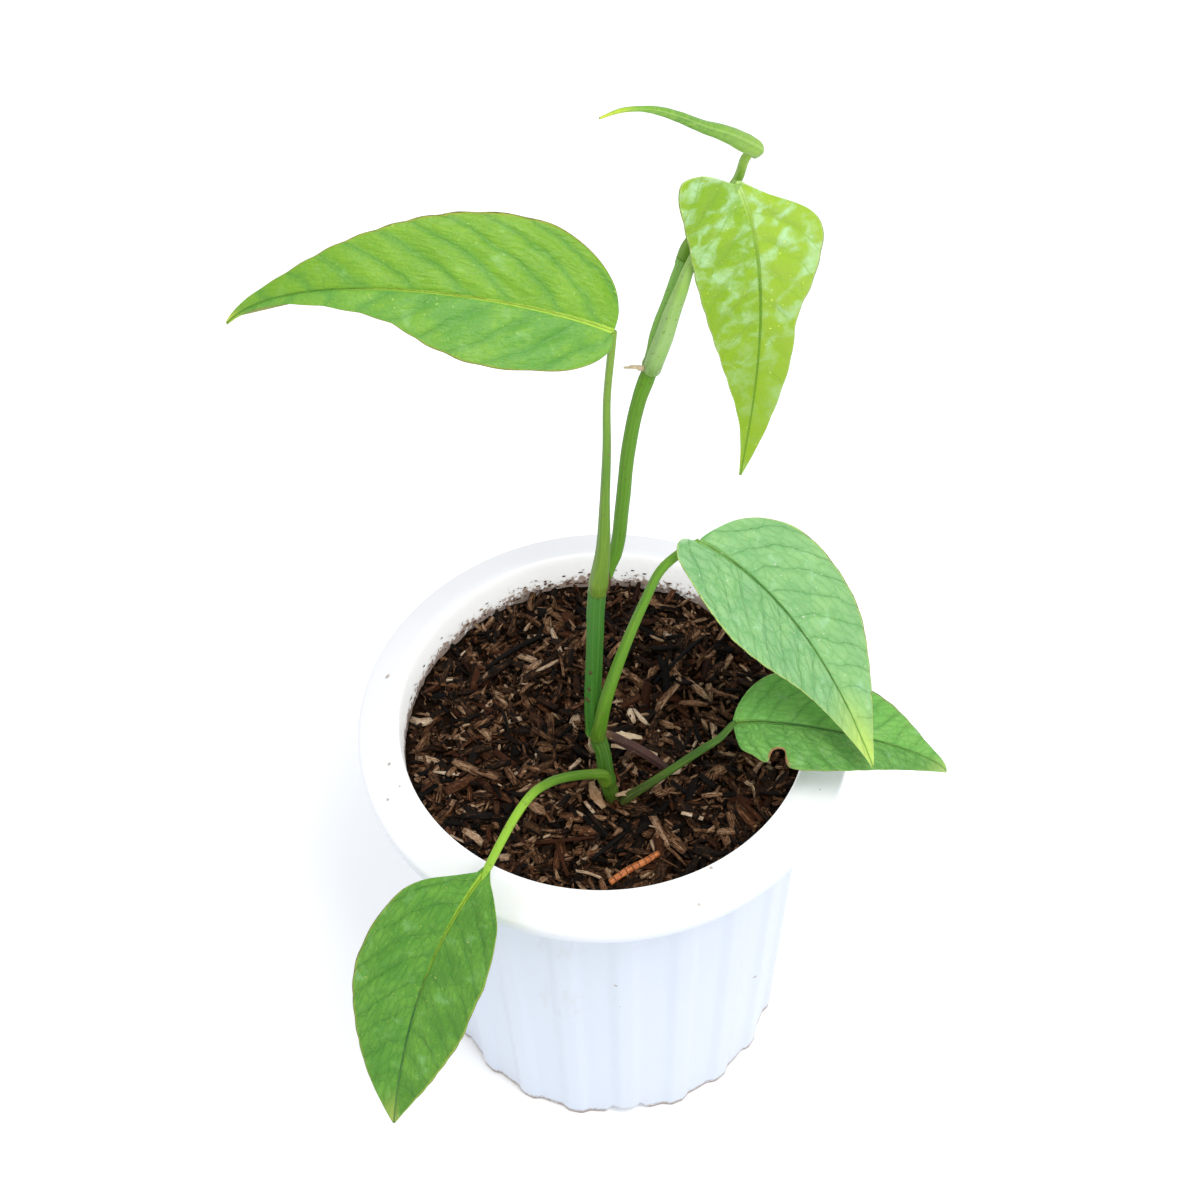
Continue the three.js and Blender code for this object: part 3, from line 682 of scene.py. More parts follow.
def stem_finish(name, stops, streak, speck, roughness=0.36, scabs=(), dry_edge=0.0):
    """A stem's finish: its colours by row, streaks along it, corky specks, and scabs at places."""
    finish, start = new_finish(name, Specular_IOR_Level=0.22)
    rows = start.layer("skin")
    spot = start.spot()
    streaks = rows.scaled((7, 26, 0)).blotches(1, 4, 0.3)
    base = (rows.part(0) + (spot.blotches(240, 3) - 0.5) * 0.02).colours(stops)
    colour = (streaks.band(0.42, 0.7) * 0.42).mixed(base, streak)
    if dry_edge:
        # The thin edge of the sheath has dried to a whitish line up one side of its foot.
        edge = (rows.part(1) - dry_edge).size() + (streaks - 0.5) * 0.05
        edge = (1 - edge.band(0.045, 0.1)) * (1 - rows.part(0).band(0.42, 0.56))
        colour = (edge * 0.88).mixed(colour, (0.92, 0.96, 0.86))
    specks = spot.blotches(950, 2).band(0.66, 0.72)
    colour = (specks * 0.55).mixed(colour, speck)
    relief = streaks * 0.6 + specks * 0.5 + spot.blotches(600, 2) * 0.25
    for where, reach in scabs:
        off = spot.distance(where) + (spot.blotches(1100, 3) - 0.5) * reach
        scab = 1 - off.band(reach * 0.6, reach)
        colour = (scab * 0.85).mixed(colour, (0.1, 0.045, 0.02))
        relief = relief + scab
    bump = bumped(relief, 0.0004)
    feed(finish, Base_Color=colour, Roughness=streaks * 0.2 + roughness, Normal=bump)
    return finish


VINE_STOPS = [
    (0, (0.15, 0.09, 0.04)), (0.15, (0.1, 0.08, 0.02)), (0.18, (0.06, 0.13, 0.01)),
    (0.24, (0.035, 0.11, 0.008)), (0.303, (0.05, 0.13, 0.01)), (0.306, (0.1, 0.07, 0.03)),
    (0.312, (0.2, 0.3, 0.04)), (0.32, (0.03, 0.14, 0.01)), (0.5, (0.035, 0.16, 0.012)),
    (0.522, (0.04, 0.16, 0.012)), (0.525, (0.16, 0.12, 0.05)), (0.531, (0.16, 0.27, 0.04)),
    (0.56, (0.095, 0.24, 0.013)), (0.83, (0.105, 0.25, 0.014)), (0.842, (0.2, 0.34, 0.05)),
    (0.9, (0.2, 0.4, 0.07)), (1, (0.2, 0.4, 0.08)),
]
VINE_SCABS = [
    ((-0.0037, -0.0134, 0.203), 0.0011), ((-0.0043, -0.0138, 0.1955), 0.0008),
    ((-0.0046, -0.0142, 0.1905), 0.0012), ((-0.0012, -0.0146, 0.186), 0.0007),
    ((-0.0035, -0.009, 0.218), 0.0006),
]
vine_finish = stem_finish(
    "vine_green", VINE_STOPS, (0.1, 0.25, 0.03), (0.22, 0.15, 0.07), scabs=VINE_SCABS
)
vine = as_piece(stem_skin(VINE, 560, 88, vine_relief), "climbing_vine", vine_finish)
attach(vine, "root")
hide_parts("vine_stem")

# Leaf stalks. One from each node, and the lowest from the mix. Each clasps the vine with a short
# sheath, is grooved along its upper side, and ends in a paler knee under its blade.
STALKS = {
    1: [
        (2.5, -22.5, 138, 1.6), (4.5, -25, 145, 1.6), (7, -26, 152, 1.6), (14.5, -26, 160, 1.35),
        (30.5, -24, 174.5, 1.25), (36.5, -22, 178, 1.15), (40.5, -20.2, 182.4, 1),
        (41.6, -20.1, 183.6, 0.8),
    ],
    2: [
        (0.5, -24.4, 159.2, 1.9), (0, -25.6, 161.5, 2.2), (-0.5, -26.5, 166, 1.9),
        (-5, -30, 172, 1.55), (-14, -39.5, 184, 1.5), (-18, -44, 188, 1.5),
        (-22, -48, 189.5, 1.45), (-27, -54, 188, 1.4), (-36.8, -67.6, 178.4, 1.35),
        (-38.8, -70.2, 175.2, 0.5),
    ],
    3: [
        (-2, -18, 175.5, 2.6), (-1.2, -18.5, 181, 2.3), (1, -18, 195, 2.1), (7, -14, 216, 1.75),
        (14, -8, 233, 1.5), (19, -4, 242.5, 1.45), (25, -1.2, 247, 1.4),
        (30.9, -0.1, 250.6, 1.25),
    ],
    4: [
        (-0.3, -5.4, 235.6, 3.1), (0, -6.6, 241.5, 3.1), (1.5, -5, 254.5, 2.3),
        (2.5, -1, 273.5, 1.6), (3.5, 3, 292, 1.35), (4, 7, 310, 1.2), (6.4, 10, 335.9, 1.1),
    ],
    5: [
        (17.6, 18.6, 309.6, 2.75), (18.5, 16.5, 316, 2.8), (21, 18, 323.5, 2.8),
        (23.5, 19.5, 332.5, 2.5), (26, 20.5, 340.5, 2.1), (28.5, 22, 348.5, 1.7),
        (38.5, 26, 369.5, 1.4), (42, 26.4, 377.8, 1.2),
    ],
    6: [
        (27, 28, 344, 2.5), (28, 29, 348.5, 2.1), (29.5, 30, 351.5, 1.75), (33, 32, 357, 1.6),
        (42, 32, 372.5, 1.45), (44.3, 30.5, 383, 1.4), (46.3, 30, 387, 1.1),
    ],
}
STALK_COLOURS = {
    1: [
        (0, (0.051, 0.039, 0.018)), (0.3, (0.043, 0.055, 0.013)), (0.5, (0.025, 0.078, 0.009)),
        (1, (0.06, 0.156, 0.023)),
    ],
    2: [
        (0, (0.086, 0.13, 0.019)), (0.12, (0.101, 0.194, 0.013)), (0.4, (0.065, 0.173, 0.01)),
        (0.6, (0.094, 0.216, 0.013)), (0.75, (0.24, 0.46, 0.03)), (1, (0.3, 0.54, 0.05)),
    ],
    3: [
        (0, (0.062, 0.147, 0.01)), (0.3, (0.088, 0.23, 0.008)), (0.7, (0.114, 0.285, 0.019)),
        (1, (0.176, 0.368, 0.039)),
    ],
    4: [
        (0, (0.112, 0.19, 0.016)), (0.2, (0.12, 0.22, 0.012)), (0.6, (0.104, 0.236, 0.024)),
        (1, (0.208, 0.35, 0.048)),
    ],
    5: [
        (0, (0.19, 0.36, 0.07)), (0.3, (0.27, 0.45, 0.13)), (0.6, (0.26, 0.46, 0.08)),
        (1, (0.27, 0.46, 0.09)),
    ],
    6: [
        (0, (0.141, 0.282, 0.032)), (0.5, (0.19, 0.38, 0.03)), (1, (0.3, 0.5, 0.07)),
    ],
}

GREEN_STREAK = (0.22, 0.36, 0.04)
SILVERY_STREAK = (0.36, 0.5, 0.24)
SHEATH_EDGE = 0.77


def stalk_relief(place, turn, last):
    """Grooved along its upper side, with a fuller knee just under the blade."""
    aside = abs((turn + 0.5) % 1 - 0.5)
    groove = 0.2 * bell(aside, 0.07) * smooth(place, 0.5, 2)
    wings = 0.07 * bell(aside - 0.14, 0.05) * smooth(place, 0.3, 1.5)
    knee = 0.05 * bell(place - last + 0.35, 0.25)
    return 0.98 - groove + wings + knee


for number, points in STALKS.items():
    last = len(points) - 1
    look = {"streak": GREEN_STREAK, "speck": (0.26, 0.18, 0.08)}
    if number == 5:
        look.update(streak=SILVERY_STREAK, dry_edge=SHEATH_EDGE)
    finish = stem_finish(f"stalk_green_{number}", STALK_COLOURS[number], **look)

    def relief(place, turn):
        return stalk_relief(place, turn, last)

    bm = stem_skin(points, 200, 36, relief)
    stalk = as_piece(bm, f"grooved_stalk_{number}", finish)
    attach(stalk, "root")
    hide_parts(f"leaf_stalk_{number}")

# Withered stalk. The dry, shrunken stalk of a fallen leaf, wrinkled along its length, that still
# hangs from the second node down to the mix.
WITHERED = [
    (-1, -14.5, 172.5, 1.3), (4, -13.5, 167.5, 1.5), (12, -13.8, 160.5, 1.6),
    (20.5, -15, 151, 1.2),
]


def withered_relief(place, turn):
    """Wrinkled lengthwise and shrunk to five blunt ridges."""
    angle = 2 * math.pi * turn
    wrinkles = rough(math.cos(angle) * 2.2, math.sin(angle) * 2.2, place * 0.9)
    return 1.02 + 0.22 * wrinkles + 0.08 * math.sin(5 * angle + place)


DRY_STOPS = [
    (0, (0.14, 0.08, 0.035)), (0.3, (0.06, 0.03, 0.025)), (0.7, (0.075, 0.035, 0.03)),
    (1, (0.03, 0.016, 0.012)),
]
dry_finish = stem_finish("dry_brown", DRY_STOPS, (0.05, 0.02, 0.018), (0.4, 0.28, 0.15), 0.6)
withered = as_piece(stem_skin(WITHERED, 90, 32, withered_relief), "dry_stalk_end", dry_finish)
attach(withered, "root")
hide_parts("withered_stalk")

# Papery scraps. The torn remains of the dry sheaths that wrapped each node, thin as paper, still
# held at the vine's nodes or fallen on the mix at its foot.
SCRAP_ROWS = 24
SCRAP_HALF_THICKNESS = 0.16
# A tone from brown (0) to cream (1), then (x, y, z, half width) along each scrap.
SCRAPS = {
    "scrap_1": (0.45, (-4.6, -23, 157.5, 0.9), (-3.4, -25.5, 154, 1.9), (-0.6, -28.6, 150.5, 0.8)),
    "scrap_2": (0.6, (-3.6, -18.6, 167.5, 0.7), (-4.2, -18.6, 172, 1.1), (-4.3, -17.6, 177, 0.3)),
    "scrap_3": (0.1, (1.6, -7.6, 236.5, 0.8), (2.6, -7.2, 240.5, 1), (3, -5.6, 245, 0.3)),
    "scrap_4": (0.85, (15.8, 17.4, 311, 1), (12.6, 16.8, 313, 1), (9.2, 17, 312.4, 0.4)),
    "husk_1": (0.75, (1.4, -5, 156, 0.9), (6, -4.4, 155.4, 2), (12.4, -3.2, 152.6, 0.7)),
    "husk_2": (0.62, (2.2, -8, 155.4, 0.8), (9, -8.4, 154.6, 1.7), (17.2, -9.6, 151.8, 0.6)),
    "husk_3": (0.5, (3, -26, 153.4, 0.6), (7.6, -25, 153.2, 1.3), (12.6, -22.6, 151.8, 0.5)),
}
PAPER_TONES = [(0.1, (0.05, 0.022, 0.012)), (0.4, (0.28, 0.16, 0.08)), (0.7, (0.62, 0.5, 0.34))]
for name, (tone, *points) in SCRAPS.items():
    frames = curve_frames(points, SCRAP_ROWS)

    def scrap_shape(row, turn):
        """Flat across the view, curled a little, with a torn edge."""
        centre, radius, along, side, other = frames[round(row * SCRAP_ROWS)]
        angle = 2 * math.pi * turn
        torn = 1 + 0.3 * rough(row * 9, math.cos(angle), tone * 9)
        flat, thin = (other, side) if abs(along.z) > 0.45 else (side, other)
        point = centre + flat * (math.cos(angle) * radius * torn)
        point += thin * (math.sin(angle) * SCRAP_HALF_THICKNESS)
        return point + thin * (0.35 * radius * math.cos(angle) ** 2)

    dry, start = new_finish("papery_sheath_" + name, Specular_IOR_Level=0.2)
    rows = start.layer("skin")
    spot = start.spot()
    fibre = rows.scaled((3, 30, 0)).blotches(1, 4)
    shade = fibre * 0.5 + spot.blotches(400, 3) * 0.4 + (tone - 0.5) * 0.7
    colour, bump = shade.colours(PAPER_TONES), bumped(fibre, 0.0004)
    feed(dry, Base_Color=colour, Roughness=fibre * 0.2 + 0.6, Normal=bump)
    scrap = as_piece(skin(SCRAP_ROWS, 16, scrap_shape, skin=as_is), "sheath_" + name, dry)
    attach(scrap, "root")

# Stick. A short orange-brown twig with dark rings that lies on the mix at the front.
STICK = [
    (0.4, -57.4, 151.2, 1), (6, -53.6, 151.8, 1.15), (12, -50.2, 151.8, 1.1),
    (16.2, -47.2, 151.6, 0.9),
]


def stick_relief(place, turn):
    """Uneven, as bark is."""
    return 1 + 0.06 * rough(place * 3, turn * 4, 0)


stick_finish, start = new_finish("stick_orange", Specular_IOR_Level=0.4)
rows = start.layer("skin")
streaks = rows.scaled((6, 14, 0)).blotches(1, 4)
rings = (rows.part(0) * 9 + streaks * 0.4).from_middle().band(0.42, 0.5)
colour = streaks.band(0.35, 0.65).mixed((0.3, 0.07, 0.014), (0.58, 0.19, 0.05))
colour = (rings * 0.8).mixed(colour, (0.06, 0.02, 0.01))
bump = bumped(streaks - rings, 0.0005)
feed(stick_finish, Base_Color=colour, Roughness=streaks * 0.2 + 0.35, Normal=bump)
stick = as_piece(stem_skin(STICK, 60, 20, stick_relief), "orange_stick", stick_finish)
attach(stick, "root")

# Leaf blades. Each is one thin, satin blade along a curved midrib, folded a little at the midrib
# and quilted between its side veins. Its margin is given as places (share along the midrib,
# width) on the left and on the right, and its side veins run from the midrib out to the margin.
BLADE_HALF_THICKNESS = 0.26
BROAD = 22
HOLD = 1.2
TIP = 0.4
# How the rows of the skin lag behind the margin along the midrib, and how they bend to meet it.
VEIN_LAG = 2.3
VEIN_BEND = 1.3
# The flat map spans this length and width of a blade, and its midrib starts at a share of it.
FLAT_SPAN = (150, 60)
FLAT_START = 0.1
BLADES = {
    1: dict(
        midrib=[(41, -20, 183), (54, -21.5, 190), (105, -26, 175), (109, -26, 161)],
        faces=[(0, -0.3, 0.95), (0.2, -0.25, 0.9)],
        fold=(6, 6), droop=1,
        left="0,H .05,6.6 .12,12.2 .2,16 .35,18.5 .5,16.8 .61,13.5 .71,8.6 .82,3.8 1,T",
        right="0,H .04,8.3 .12,11.3 .19,13.8 .215,9.8 .26,9.2 .29,15 .45,13.6 .68,8 1,T",
    ),
    2: dict(
        midrib=[(-37, -68, 178), (-56, -81, 158), (-66.5, -97, 131), (-70, -118, 110)],
        faces=[(-0.25, -0.45, 0.85), (-0.35, -0.75, 0.5)],
        fold=(8, 8), droop=1.1,
        left="0,H .04,4.7 .09,10.5 .17,15.6 .34,19.2 .48,18.9 .63,17.6 .81,11.4 .93,4.8 1,T",
        right="0,H .07,3.3 .11,8.5 .17,14.7 .25,19.4 .38,22.3 .53,22.6 .68,17.9 .84,10.4 1,T",
    ),
    3: dict(
        midrib=[(31, 0, 251), (57, -7, 236.5), (74, -21, 206), (83.6, -38, 183)],
        faces=[(0.4, -0.4, 0.82), (0.62, -0.45, 0.64)],
        fold=(10, 10), droop=1.1,
        left="0,H .02,4.5 .08,12 .16,18 .27,22.4 .42,22.6 .56,20.2 .7,13.9 .88,5.3 1,T",
        right="0,H -.052,1.6 -.07,4.6 -.05,9.4 .03,14.8 .14,19.5 "
        ".27,21.9 .43,19.8 .62,13 .82,6.5 1,T",
    ),
    4: dict(
        midrib=[(6.5, 10, 336), (-18.5, 12.5, 349.5), (-85.5, 18, 361.5), (-104.5, 20, 333.5)],
        faces=[(0.15, -0.62, 0.78), (0, -0.62, 0.78)],
        fold=(8, 8), droop=2.4,
        left="0,H -.01,5 .03,10.2 .11,15 .22,18.1 .34,18.9 .45,15.2 .56,8.6 .78,2.7 1,T",
        right="0,H .01,6.5 .05,13 .13,20 .23,24.8 .35,24.9 .47,21.7 .61,15 .8,5.2 1,T",
    ),
    5: dict(
        midrib=[(42, 26, 378), (52.5, 23.5, 348), (49.5, 15, 312.5), (42.5, -5, 288)],
        faces=[(0, -0.85, 0.5), (0.05, -0.95, -0.1)],
        fold=(-14, 12), droop=1.2,
        left="0,H .04,3.7 .1,8.2 .19,17.5 .27,20.2 .4,16.4 .51,11.4 .66,10.1 .85,5.8 1,T",
        right="0,H -.07,6 -.1,11.6 -.085,15.4 0,18 .16,19 .33,18.6 .5,15.5 .66,10.4 .84,3.5 1,T",
    ),
}
# How far the blade stands up between two side veins, and how far apart the veins are.
QUILT = {1: 0.4, 2: 0.5, 3: 0.4, 4: 0.8, 5: 0.6}
VEIN_SPACING = {1: 10, 2: 11.5, 3: 11, 4: 12, 5: 12}
VEIN_SLANT = 0.75
VEIN_SWEEP = 0.028
RIB_LENGTH = 110


def margin_curve(text):
    """The (share, width) pairs of a margin, as a function of its row from 0 to 1."""
    named = {"H": HOLD, "T": TIP}
    pairs = [pair.split(",") for pair in text.split()]
    points = [Vector((float(share), named.get(width) or float(width))) for share, width in pairs]

    def at(row):
        place = row * (len(points) - 1)
        k = min(int(place), len(points) - 2)
        t = place - k
        p0, p1, p2, p3 = [points[min(max(k + i, 0), len(points) - 1)] for i in (-1, 0, 1, 2)]
        v0, v1 = (p2 - p0) * 0.5, (p3 - p1) * 0.5
        bent = (p1 - p2) * 2 + v0 + v1
        slack = (p2 - p1) * 3 - v0 * 2 - v1
        return bent * t**3 + slack * t * t + v0 * t + p1

    return at


def blade_frame(blade, share):
    """The midrib's point at a share of its length, with the blade's up and side there."""
    a, b, c, d = [Vector(p) for p in blade["midrib"]]
    t = min(max(share, 0), 1)
    along = ((b - a) * (1 - t) ** 2 + (c - b) * 2 * t * (1 - t) + (d - c) * t * t).normalized()
    point = a * (1 - t) ** 3 + b * 3 * t * (1 - t) ** 2 + c * 3 * t * t * (1 - t) + d * t**3
    if share < 0:
        point += along * share * (b - a).length * 3
    up = Vector(blade["faces"][0]).normalized().lerp(Vector(blade["faces"][1]).normalized(), t)
    up = (up - along * up.dot(along)).normalized()
    return point, up, up.cross(along)


def spread_at(turn):
    """From 1 at the left margin to -1 at the right over the upper side, and back below."""
    even = 1 - 4 * turn if turn <= 0.5 else 4 * turn - 3
    return math.copysign(abs(even) ** 1.15, even)


def blade_skin(blade, quilt, spacing, rows=168, around=148):
    """A blade as a flattened closed skin, its upper side first and then its lower side."""
    margins = {1: margin_curve(blade["left"]), -1: margin_curve(blade["right"])}
    flat = {}

    def shape(row, turn):
        upper = turn <= 0.5
        spread = spread_at(turn)
        hand = 1 if spread >= 0 else -1
        share_at_edge, width_at_edge = margins[hand](row)
        start = row**VEIN_LAG
        share = start + (share_at_edge - start) * abs(spread) ** VEIN_BEND
        width = width_at_edge * abs(spread)
        point, up, side = blade_frame(blade, share)
        lift = math.radians(blade["fold"][0 if hand > 0 else 1])
        outward = side * hand * math.cos(lift) + up * math.sin(lift)
        raised = (up * math.cos(lift) - side * hand * math.sin(lift)).normalized()
        count = share * RIB_LENGTH - width * VEIN_SLANT - width * width * VEIN_SWEEP
        count += 1.6 * rough(share * 5, width * hand * 0.06, spacing)
        between = math.sin(math.pi * ((count / spacing + (0 if hand > 0 else 0.5)) % 1)) ** 1.4
        hold = min(1, width / 5) * (1 - abs(spread) ** 6)
        relief = quilt * (between - 0.5) * hold * smooth(row, 0, 0.1) * smooth(1 - row, 0, 0.12)
        bumps = rough(count * 0.22, width * hand * 0.16, spacing)
        relief += quilt * 0.7 * bumps * hold
        groove = bell(width, 0.8)
        keel = bell(width, 1.1) * (1 - 0.7 * row)
        if upper:
            relief += BLADE_HALF_THICKNESS * math.sqrt(1 - abs(spread) ** 6) - 0.35 * groove
        else:
            relief -= BLADE_HALF_THICKNESS * math.sqrt(1 - abs(spread) ** 6) + 0.55 * keel
        # The margin is drawn in a little where a side vein meets it.
        ends = smooth(row, 0, 0.15) * smooth(1 - row, 0, 0.2)
        crimp = quilt * 0.45 * (between - 0.6) * abs(spread) ** 6 * ends
        where = point + outward * (width + crimp) - up * blade["droop"] * (width / BROAD) ** 2
        flat[row, turn] = (
            share * RIB_LENGTH / FLAT_SPAN[0] + FLAT_START,
            hand * width / FLAT_SPAN[1] + 0.5,
        )
        return where + raised * relief

    def spread_map(row, turn):
        return row, spread_at(turn) * 0.5 + 0.5

    def flat_map(row, turn):
        return flat[row, turn]

    return skin(rows, around, shape, blade=spread_map, flat=flat_map)


LEAF_LOOKS = {
    1: dict(
        left=(0.145, 0.41, 0.07), right=(0.115, 0.32, 0.058), bright=(0.21, 0.46, 0.095),
        vein=(0.035, 0.16, 0.02),
        rib=[(0, (0.16, 0.34, 0.05)), (0.3, (0.08, 0.25, 0.045)), (1, (0.18, 0.38, 0.07))],
        edge=(0.3, 0.42, 0.12), tip=(0.4, 0.56, 0.14), tip_from=0.9, painted_sheen=(0.24, 0.47, 0.2),
        painted_sheen_share=0.3, fleck=(0.3, 0.45, 0.12), net=(1.3, 0.42), veins=(0.22, 0.16),
        bitten=(0.3, 0.14, 0.06), roughness=0.42,
    ),
    2: dict(
        left=(0.079, 0.24, 0.022), right=(0.09, 0.275, 0.028), bright=(0.165, 0.39, 0.045),
        vein=(0.035, 0.16, 0.014),
        rib=[(0, (0.36, 0.58, 0.04)), (0.4, (0.24, 0.46, 0.04)), (0.6, (0.08, 0.24, 0.07))],
        edge=(0.34, 0.46, 0.07), tip=(0.32, 0.4, 0.08), tip_from=0.93, painted_sheen=(0.19, 0.42, 0.14),
        painted_sheen_share=0.35, fleck=(0.42, 0.5, 0.1), net=(1.3, 0.4), veins=(0.25, 0.2),
        roughness=0.4,
    ),
    3: dict(
        left=(0.22, 0.455, 0.175), right=(0.22, 0.445, 0.19), bright=(0.3, 0.55, 0.2),
        vein=(0.09, 0.3, 0.08),
        rib=[(0, (0.2, 0.4, 0.09)), (0.25, (0.1, 0.3, 0.06)), (1, (0.2, 0.44, 0.08))],
        edge=(0.5, 0.66, 0.17), tip=(0.52, 0.7, 0.12), tip_from=0.82, painted_sheen=(0.33, 0.6, 0.33),
        painted_sheen_share=0.4, fleck=(0.7, 0.72, 0.6), net=(0.95, 0.52), veins=(0.22, 0.28),
        pale_foot=(0, 0.75), roughness=0.45,
    ),
    4: dict(
        left=(0.115, 0.315, 0.043), right=(0.155, 0.34, 0.02), bright=(0.225, 0.43, 0.035),
        vein=(0.07, 0.25, 0.035),
        rib=[(0, (0.42, 0.64, 0.08)), (0.5, (0.36, 0.58, 0.06)), (0.68, (0.1, 0.3, 0.03))],
        edge=(0.34, 0.36, 0.06), tip=(0.55, 0.64, 0.06), tip_from=0.95, painted_sheen=(0.25, 0.48, 0.15),
        painted_sheen_share=0.25, fleck=(0.36, 0.56, 0.12), net=(1.7, 0.2), veins=(0.5, 0.1),
        roughness=0.45,
    ),
    5: dict(
        left=(0.3, 0.48, 0.032), right=(0.205, 0.385, 0.014), bright=(0.3, 0.49, 0.02),
        vein=(0.15, 0.33, 0.02),
        rib=[(0, (0.48, 0.7, 0.22)), (0.13, (0.3, 0.5, 0.05)), (0.4, (0.12, 0.28, 0.012))],
        edge=(0.46, 0.64, 0.18), tip=(0.2, 0.345, 0.008), tip_from=0.42, painted_sheen=(0.48, 0.76, 0.48),
        painted_sheen_share=1.0, fleck=(0.74, 0.86, 0.16), net=(1.6, 0.08), veins=(0.16, 0.1),
        pale_foot=(0.5, 0.6), roughness=0.32,
    ),
}


def leaf_finish(number, look, spacing):
    """A blade's finish: two greens, side veins, a net of cells, midrib, edge, tip and flecks, with
    painted light and shade on the halves, painted shade along the veins and cell borders, and
    painted sheen patches.
    """
    fixed = {"Specular_IOR_Level": 0.3, "Subsurface_Weight": 0.06, "Subsurface_Scale": 0.002}
    finish, start = new_finish(f"blade_green_{number}", **fixed)
    rows = start.layer("blade")
    flat = start.layer("flat").scaled((*FLAT_SPAN, 0))
    row, across = rows.part(0), rows.part(1)
    aside = (across - 0.5).size() * 2
    width = (flat.part(1) - FLAT_SPAN[1] * 0.5).size()
    along = flat.part(0) - FLAT_SPAN[0] * FLAT_START
    share = along * (1 / RIB_LENGTH)
    is_left = across.band(0.49, 0.51)
    wander = flat.blotches(0.09, 2)
    broad = flat.blotches(0.07, 3)
    fine = flat.blotches(1.3, 5)
    mottle = flat.blotches(0.5, 3)
    # The greens of the two halves differ partly by painted light and shade on either side of the
    # fold, such as the darker lower half of blade 4.
    base = is_left.mixed(look["right"], look["left"])
    mix = broad.band(0.38, 0.64) * 0.5 + (fine - 0.5) * 0.95 + (mottle - 0.5) * 0.8
    colour = mix.mixed(base, look["bright"])
    # The side veins, counted from the stalk along the midrib, sweep out and forwards.
    swept = along - width * VEIN_SLANT - width * width * VEIN_SWEEP
    count = swept * (1 / spacing) + (1 - is_left) * 0.5
    wavy = count + (wander - 0.5) * 0.7 + (mottle - 0.5) * 0.1
    near = wavy.from_middle()
    # Soft darker bands along the side veins: partly the veins' own deeper green, partly painted
    # shade in the grooves that the skin has there.
    painted_vein_shade, vein_line = look["veins"]
    colour = (near.band(0.24, 0.5) * painted_vein_shade).mixed(colour, look["vein"])
    # The finest veins make a net of cells between them.
    net_scale, strength = look["net"]
    sockets = {0: wavy * 1.5, 1: width * 0.36 + (mottle - 0.5) * 0.3, 2: is_left * 7}
    cell_space = start.node("ShaderNodeCombineXYZ", {}, sockets)
    sockets = {"Vector": cell_space, "Scale": net_scale, "Randomness": 0.9}
    cells = start.node("ShaderNodeTexVoronoi", {"feature": "DISTANCE_TO_EDGE"}, sockets)
    net = 1 - cells.band(0.01, 0.085)
    net_strength = strength - is_left * (strength * 0.35)
    pillow = cells.band(0, 0.3)
    # Each cell's border is painted darker as shade where the net is pressed in; the net lines below
    # are the fine veins' own colour.
    colour = ((1 - pillow) * net_strength * 0.4).mixed(colour, look["vein"])
    colour = (net * net_strength * mottle.band(0.25, 0.6)).mixed(colour, look["vein"])
    side_vein = near.band(0.455, 0.5) * width.band(0.3, 1.5) * (1 - row.band(0.9, 0.97))
    colour = (side_vein * vein_line).mixed(colour, look["vein"])
    # Painted sheen: pale patches that stand in for gloss reflections on the quilted blade, where
    # the blade is also a little less rough.
    painted_sheen = broad * 0.3 + flat.blotches(0.17, 3, 0.6) * 0.7
    top = 0.62 - look["painted_sheen_share"] * 0.14
    painted_sheen = painted_sheen.band(top - 0.03, top + 0.17) * (1 - side_vein * 0.6) * (mottle * 1.4 + 0.15)
    colour = (painted_sheen * 0.65).mixed(colour, look["painted_sheen"])
    colour = (row.band(look["tip_from"], 1) * 0.85).mixed(colour, look["tip"])
    left_foot, right_foot = look.get("pale_foot", (0, 0))
    foot = (1 - row.band(0.08, 0.2)) * aside.band(0.45, 0.95) * (1 - side_vein)
    pale = is_left * left_foot + (1 - is_left) * right_foot
    colour = (foot * pale).mixed(colour, (0.6, 0.76, 0.55))
    rib_width = (1 - share) * (1 - share) * 0.75 + 0.28
    rib = 1 - (width / rib_width).band(0.55, 1.05)
    colour = (rib * 0.9).mixed(colour, share.colours(look["rib"]))
    edge = (aside + (mottle - 0.5) * 0.02).band(0.966, 0.988)
    colour = (edge * 0.75).mixed(colour, look["edge"])
    flecks = flat.blotches(0.8, 1).band(0.735, 0.76)
    colour = (flecks * 0.65).mixed(colour, look["fleck"])
    if "bitten" in look:
        # The bitten edge has dried brown.
        bitten = row.band(0.35, 0.4) * (1 - row.band(0.63, 0.67)) * aside.band(0.9, 0.96)
        colour = (bitten * (1 - is_left) * 0.9).mixed(colour, look["bitten"])
    relief = pillow * net_strength + fine * 0.4 + mottle * 0.5 - side_vein * vein_line - rib * 0.2
    feed(
        finish,
        Base_Color=colour,
        Roughness=(fine - 0.5) * 0.25 + look["roughness"] - painted_sheen * 0.06,
        Normal=bumped(relief, 0.0006),
    )
    return finish


for number, blade in BLADES.items():
    finish = leaf_finish(number, LEAF_LOOKS[number], VEIN_SPACING[number])
    bm = blade_skin(blade, QUILT[number], VEIN_SPACING[number])
    leaf = as_piece(bm, f"veined_blade_{number}", finish)
    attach(leaf, "root")
    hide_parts(f"leaf_{number}")

# Youngest leaf. It is still rolled up lengthwise round itself, fattest near its foot, with its
# outer edge lapped over as a pale line, and it ends in a soft flat tip.
ROLLED = [
    (47, 30.2, 384.5, 1.2), (47, 29.5, 387.5, 2.4), (44, 27.5, 392, 2.8), (38, 22, 401.5, 2.35),
    (31.5, 16.5, 410, 1.8), (25.5, 12, 418, 1.55), (20, 7.5, 425, 1.25), (15, 3, 430.5, 0.8),
    (9.5, -2, 435, 0.7), (4, -7, 437.5, 0.33),
]
ROLL_LAP = 0.18


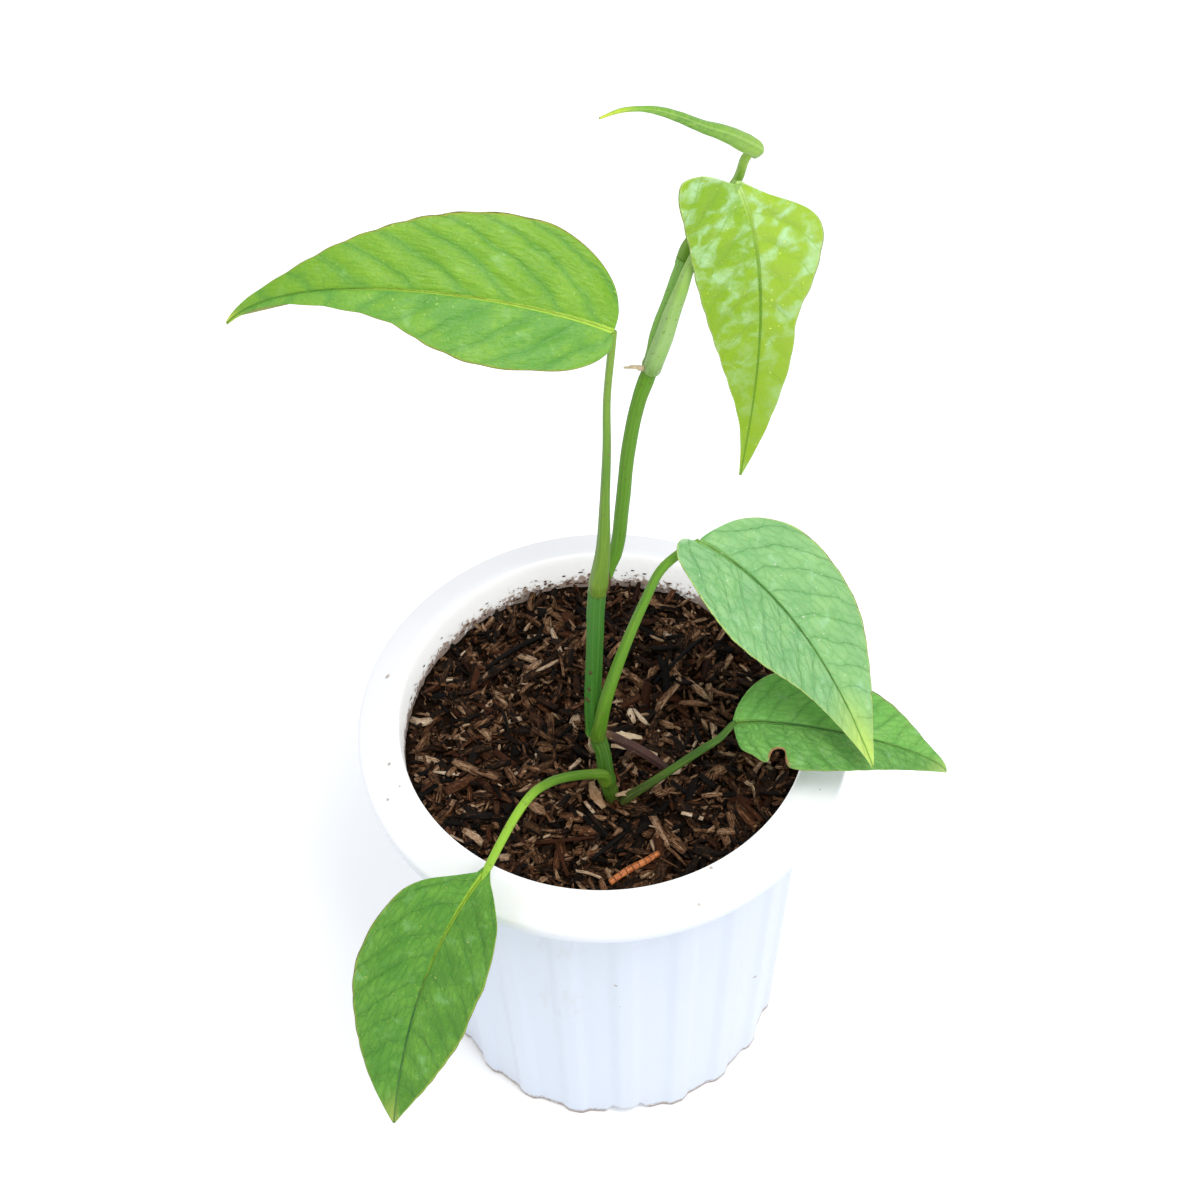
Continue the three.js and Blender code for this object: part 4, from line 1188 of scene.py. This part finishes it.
def roll_relief(place, turn):
    """Grows over the turn like a rolled sheet and steps back at the lapped edge."""
    wound = (turn + 0.6) % 1
    lap = ROLL_LAP * (0.5 - wound) + ROLL_LAP * smooth(wound, 0.94, 1)
    return 0.97 + lap + 0.01 * math.sin(2 * math.pi * (3 * turn + place * 1.3))


rolled_finish, start = new_finish("rolled_green", Specular_IOR_Level=0.3)
rows = start.layer("skin")
spot = start.spot()
ROLLED_STOPS = [
    (0, (0.13, 0.28, 0.025)), (0.15, (0.25, 0.43, 0.045)), (0.35, (0.16, 0.34, 0.028)),
    (0.55, (0.11, 0.28, 0.02)), (0.8, (0.18, 0.38, 0.022)), (0.9, (0.42, 0.56, 0.03)),
    (1, (0.55, 0.6, 0.04)),
]
veins = rows.part(0) * 16 + rows.part(1) * 3 + spot.blotches(120, 3) * 0.6
near = veins.from_middle()
mottle = spot.blotches(500, 4)
colour = rows.part(0).colours(ROLLED_STOPS)
colour = (mottle.band(0.4, 0.65) * 0.6).mixed(colour, (0.22, 0.42, 0.045))
colour = (near.band(0.25, 0.5) * 0.1).mixed(colour, (0.1, 0.27, 0.03))
lap = (rows.part(1) - 0.41).size()
colour = ((1 - lap.band(0.012, 0.03)) * 0.2).mixed(colour, (0.5, 0.68, 0.26))
under = (rows.part(1) - 0.8).size()
colour = ((1 - under.band(0.15, 0.32)) * 0.45).mixed(colour, (0.1, 0.28, 0.03))
flecks = spot.blotches(900, 1).band(0.72, 0.76)
colour = (flecks * 0.5).mixed(colour, (0.6, 0.66, 0.2))
feed(
    rolled_finish,
    Base_Color=colour,
    Roughness=mottle * 0.2 + 0.32,
    Normal=bumped(mottle * 0.6 - near.band(0.3, 0.5) * 0.15, 0.0005),
)
rolled = as_piece(stem_skin(ROLLED, 220, 80, roll_relief), "rolled_blade_6", rolled_finish)
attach(rolled, "root")
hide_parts("leaf_6_rolled")

# Measure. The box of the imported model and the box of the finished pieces, in metres.
finished_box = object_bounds()
sizes = {
    "cad": [list(map(float, corner)) for corner in cad_box],
    "finished": [list(map(float, corner)) for corner in finished_box],
}
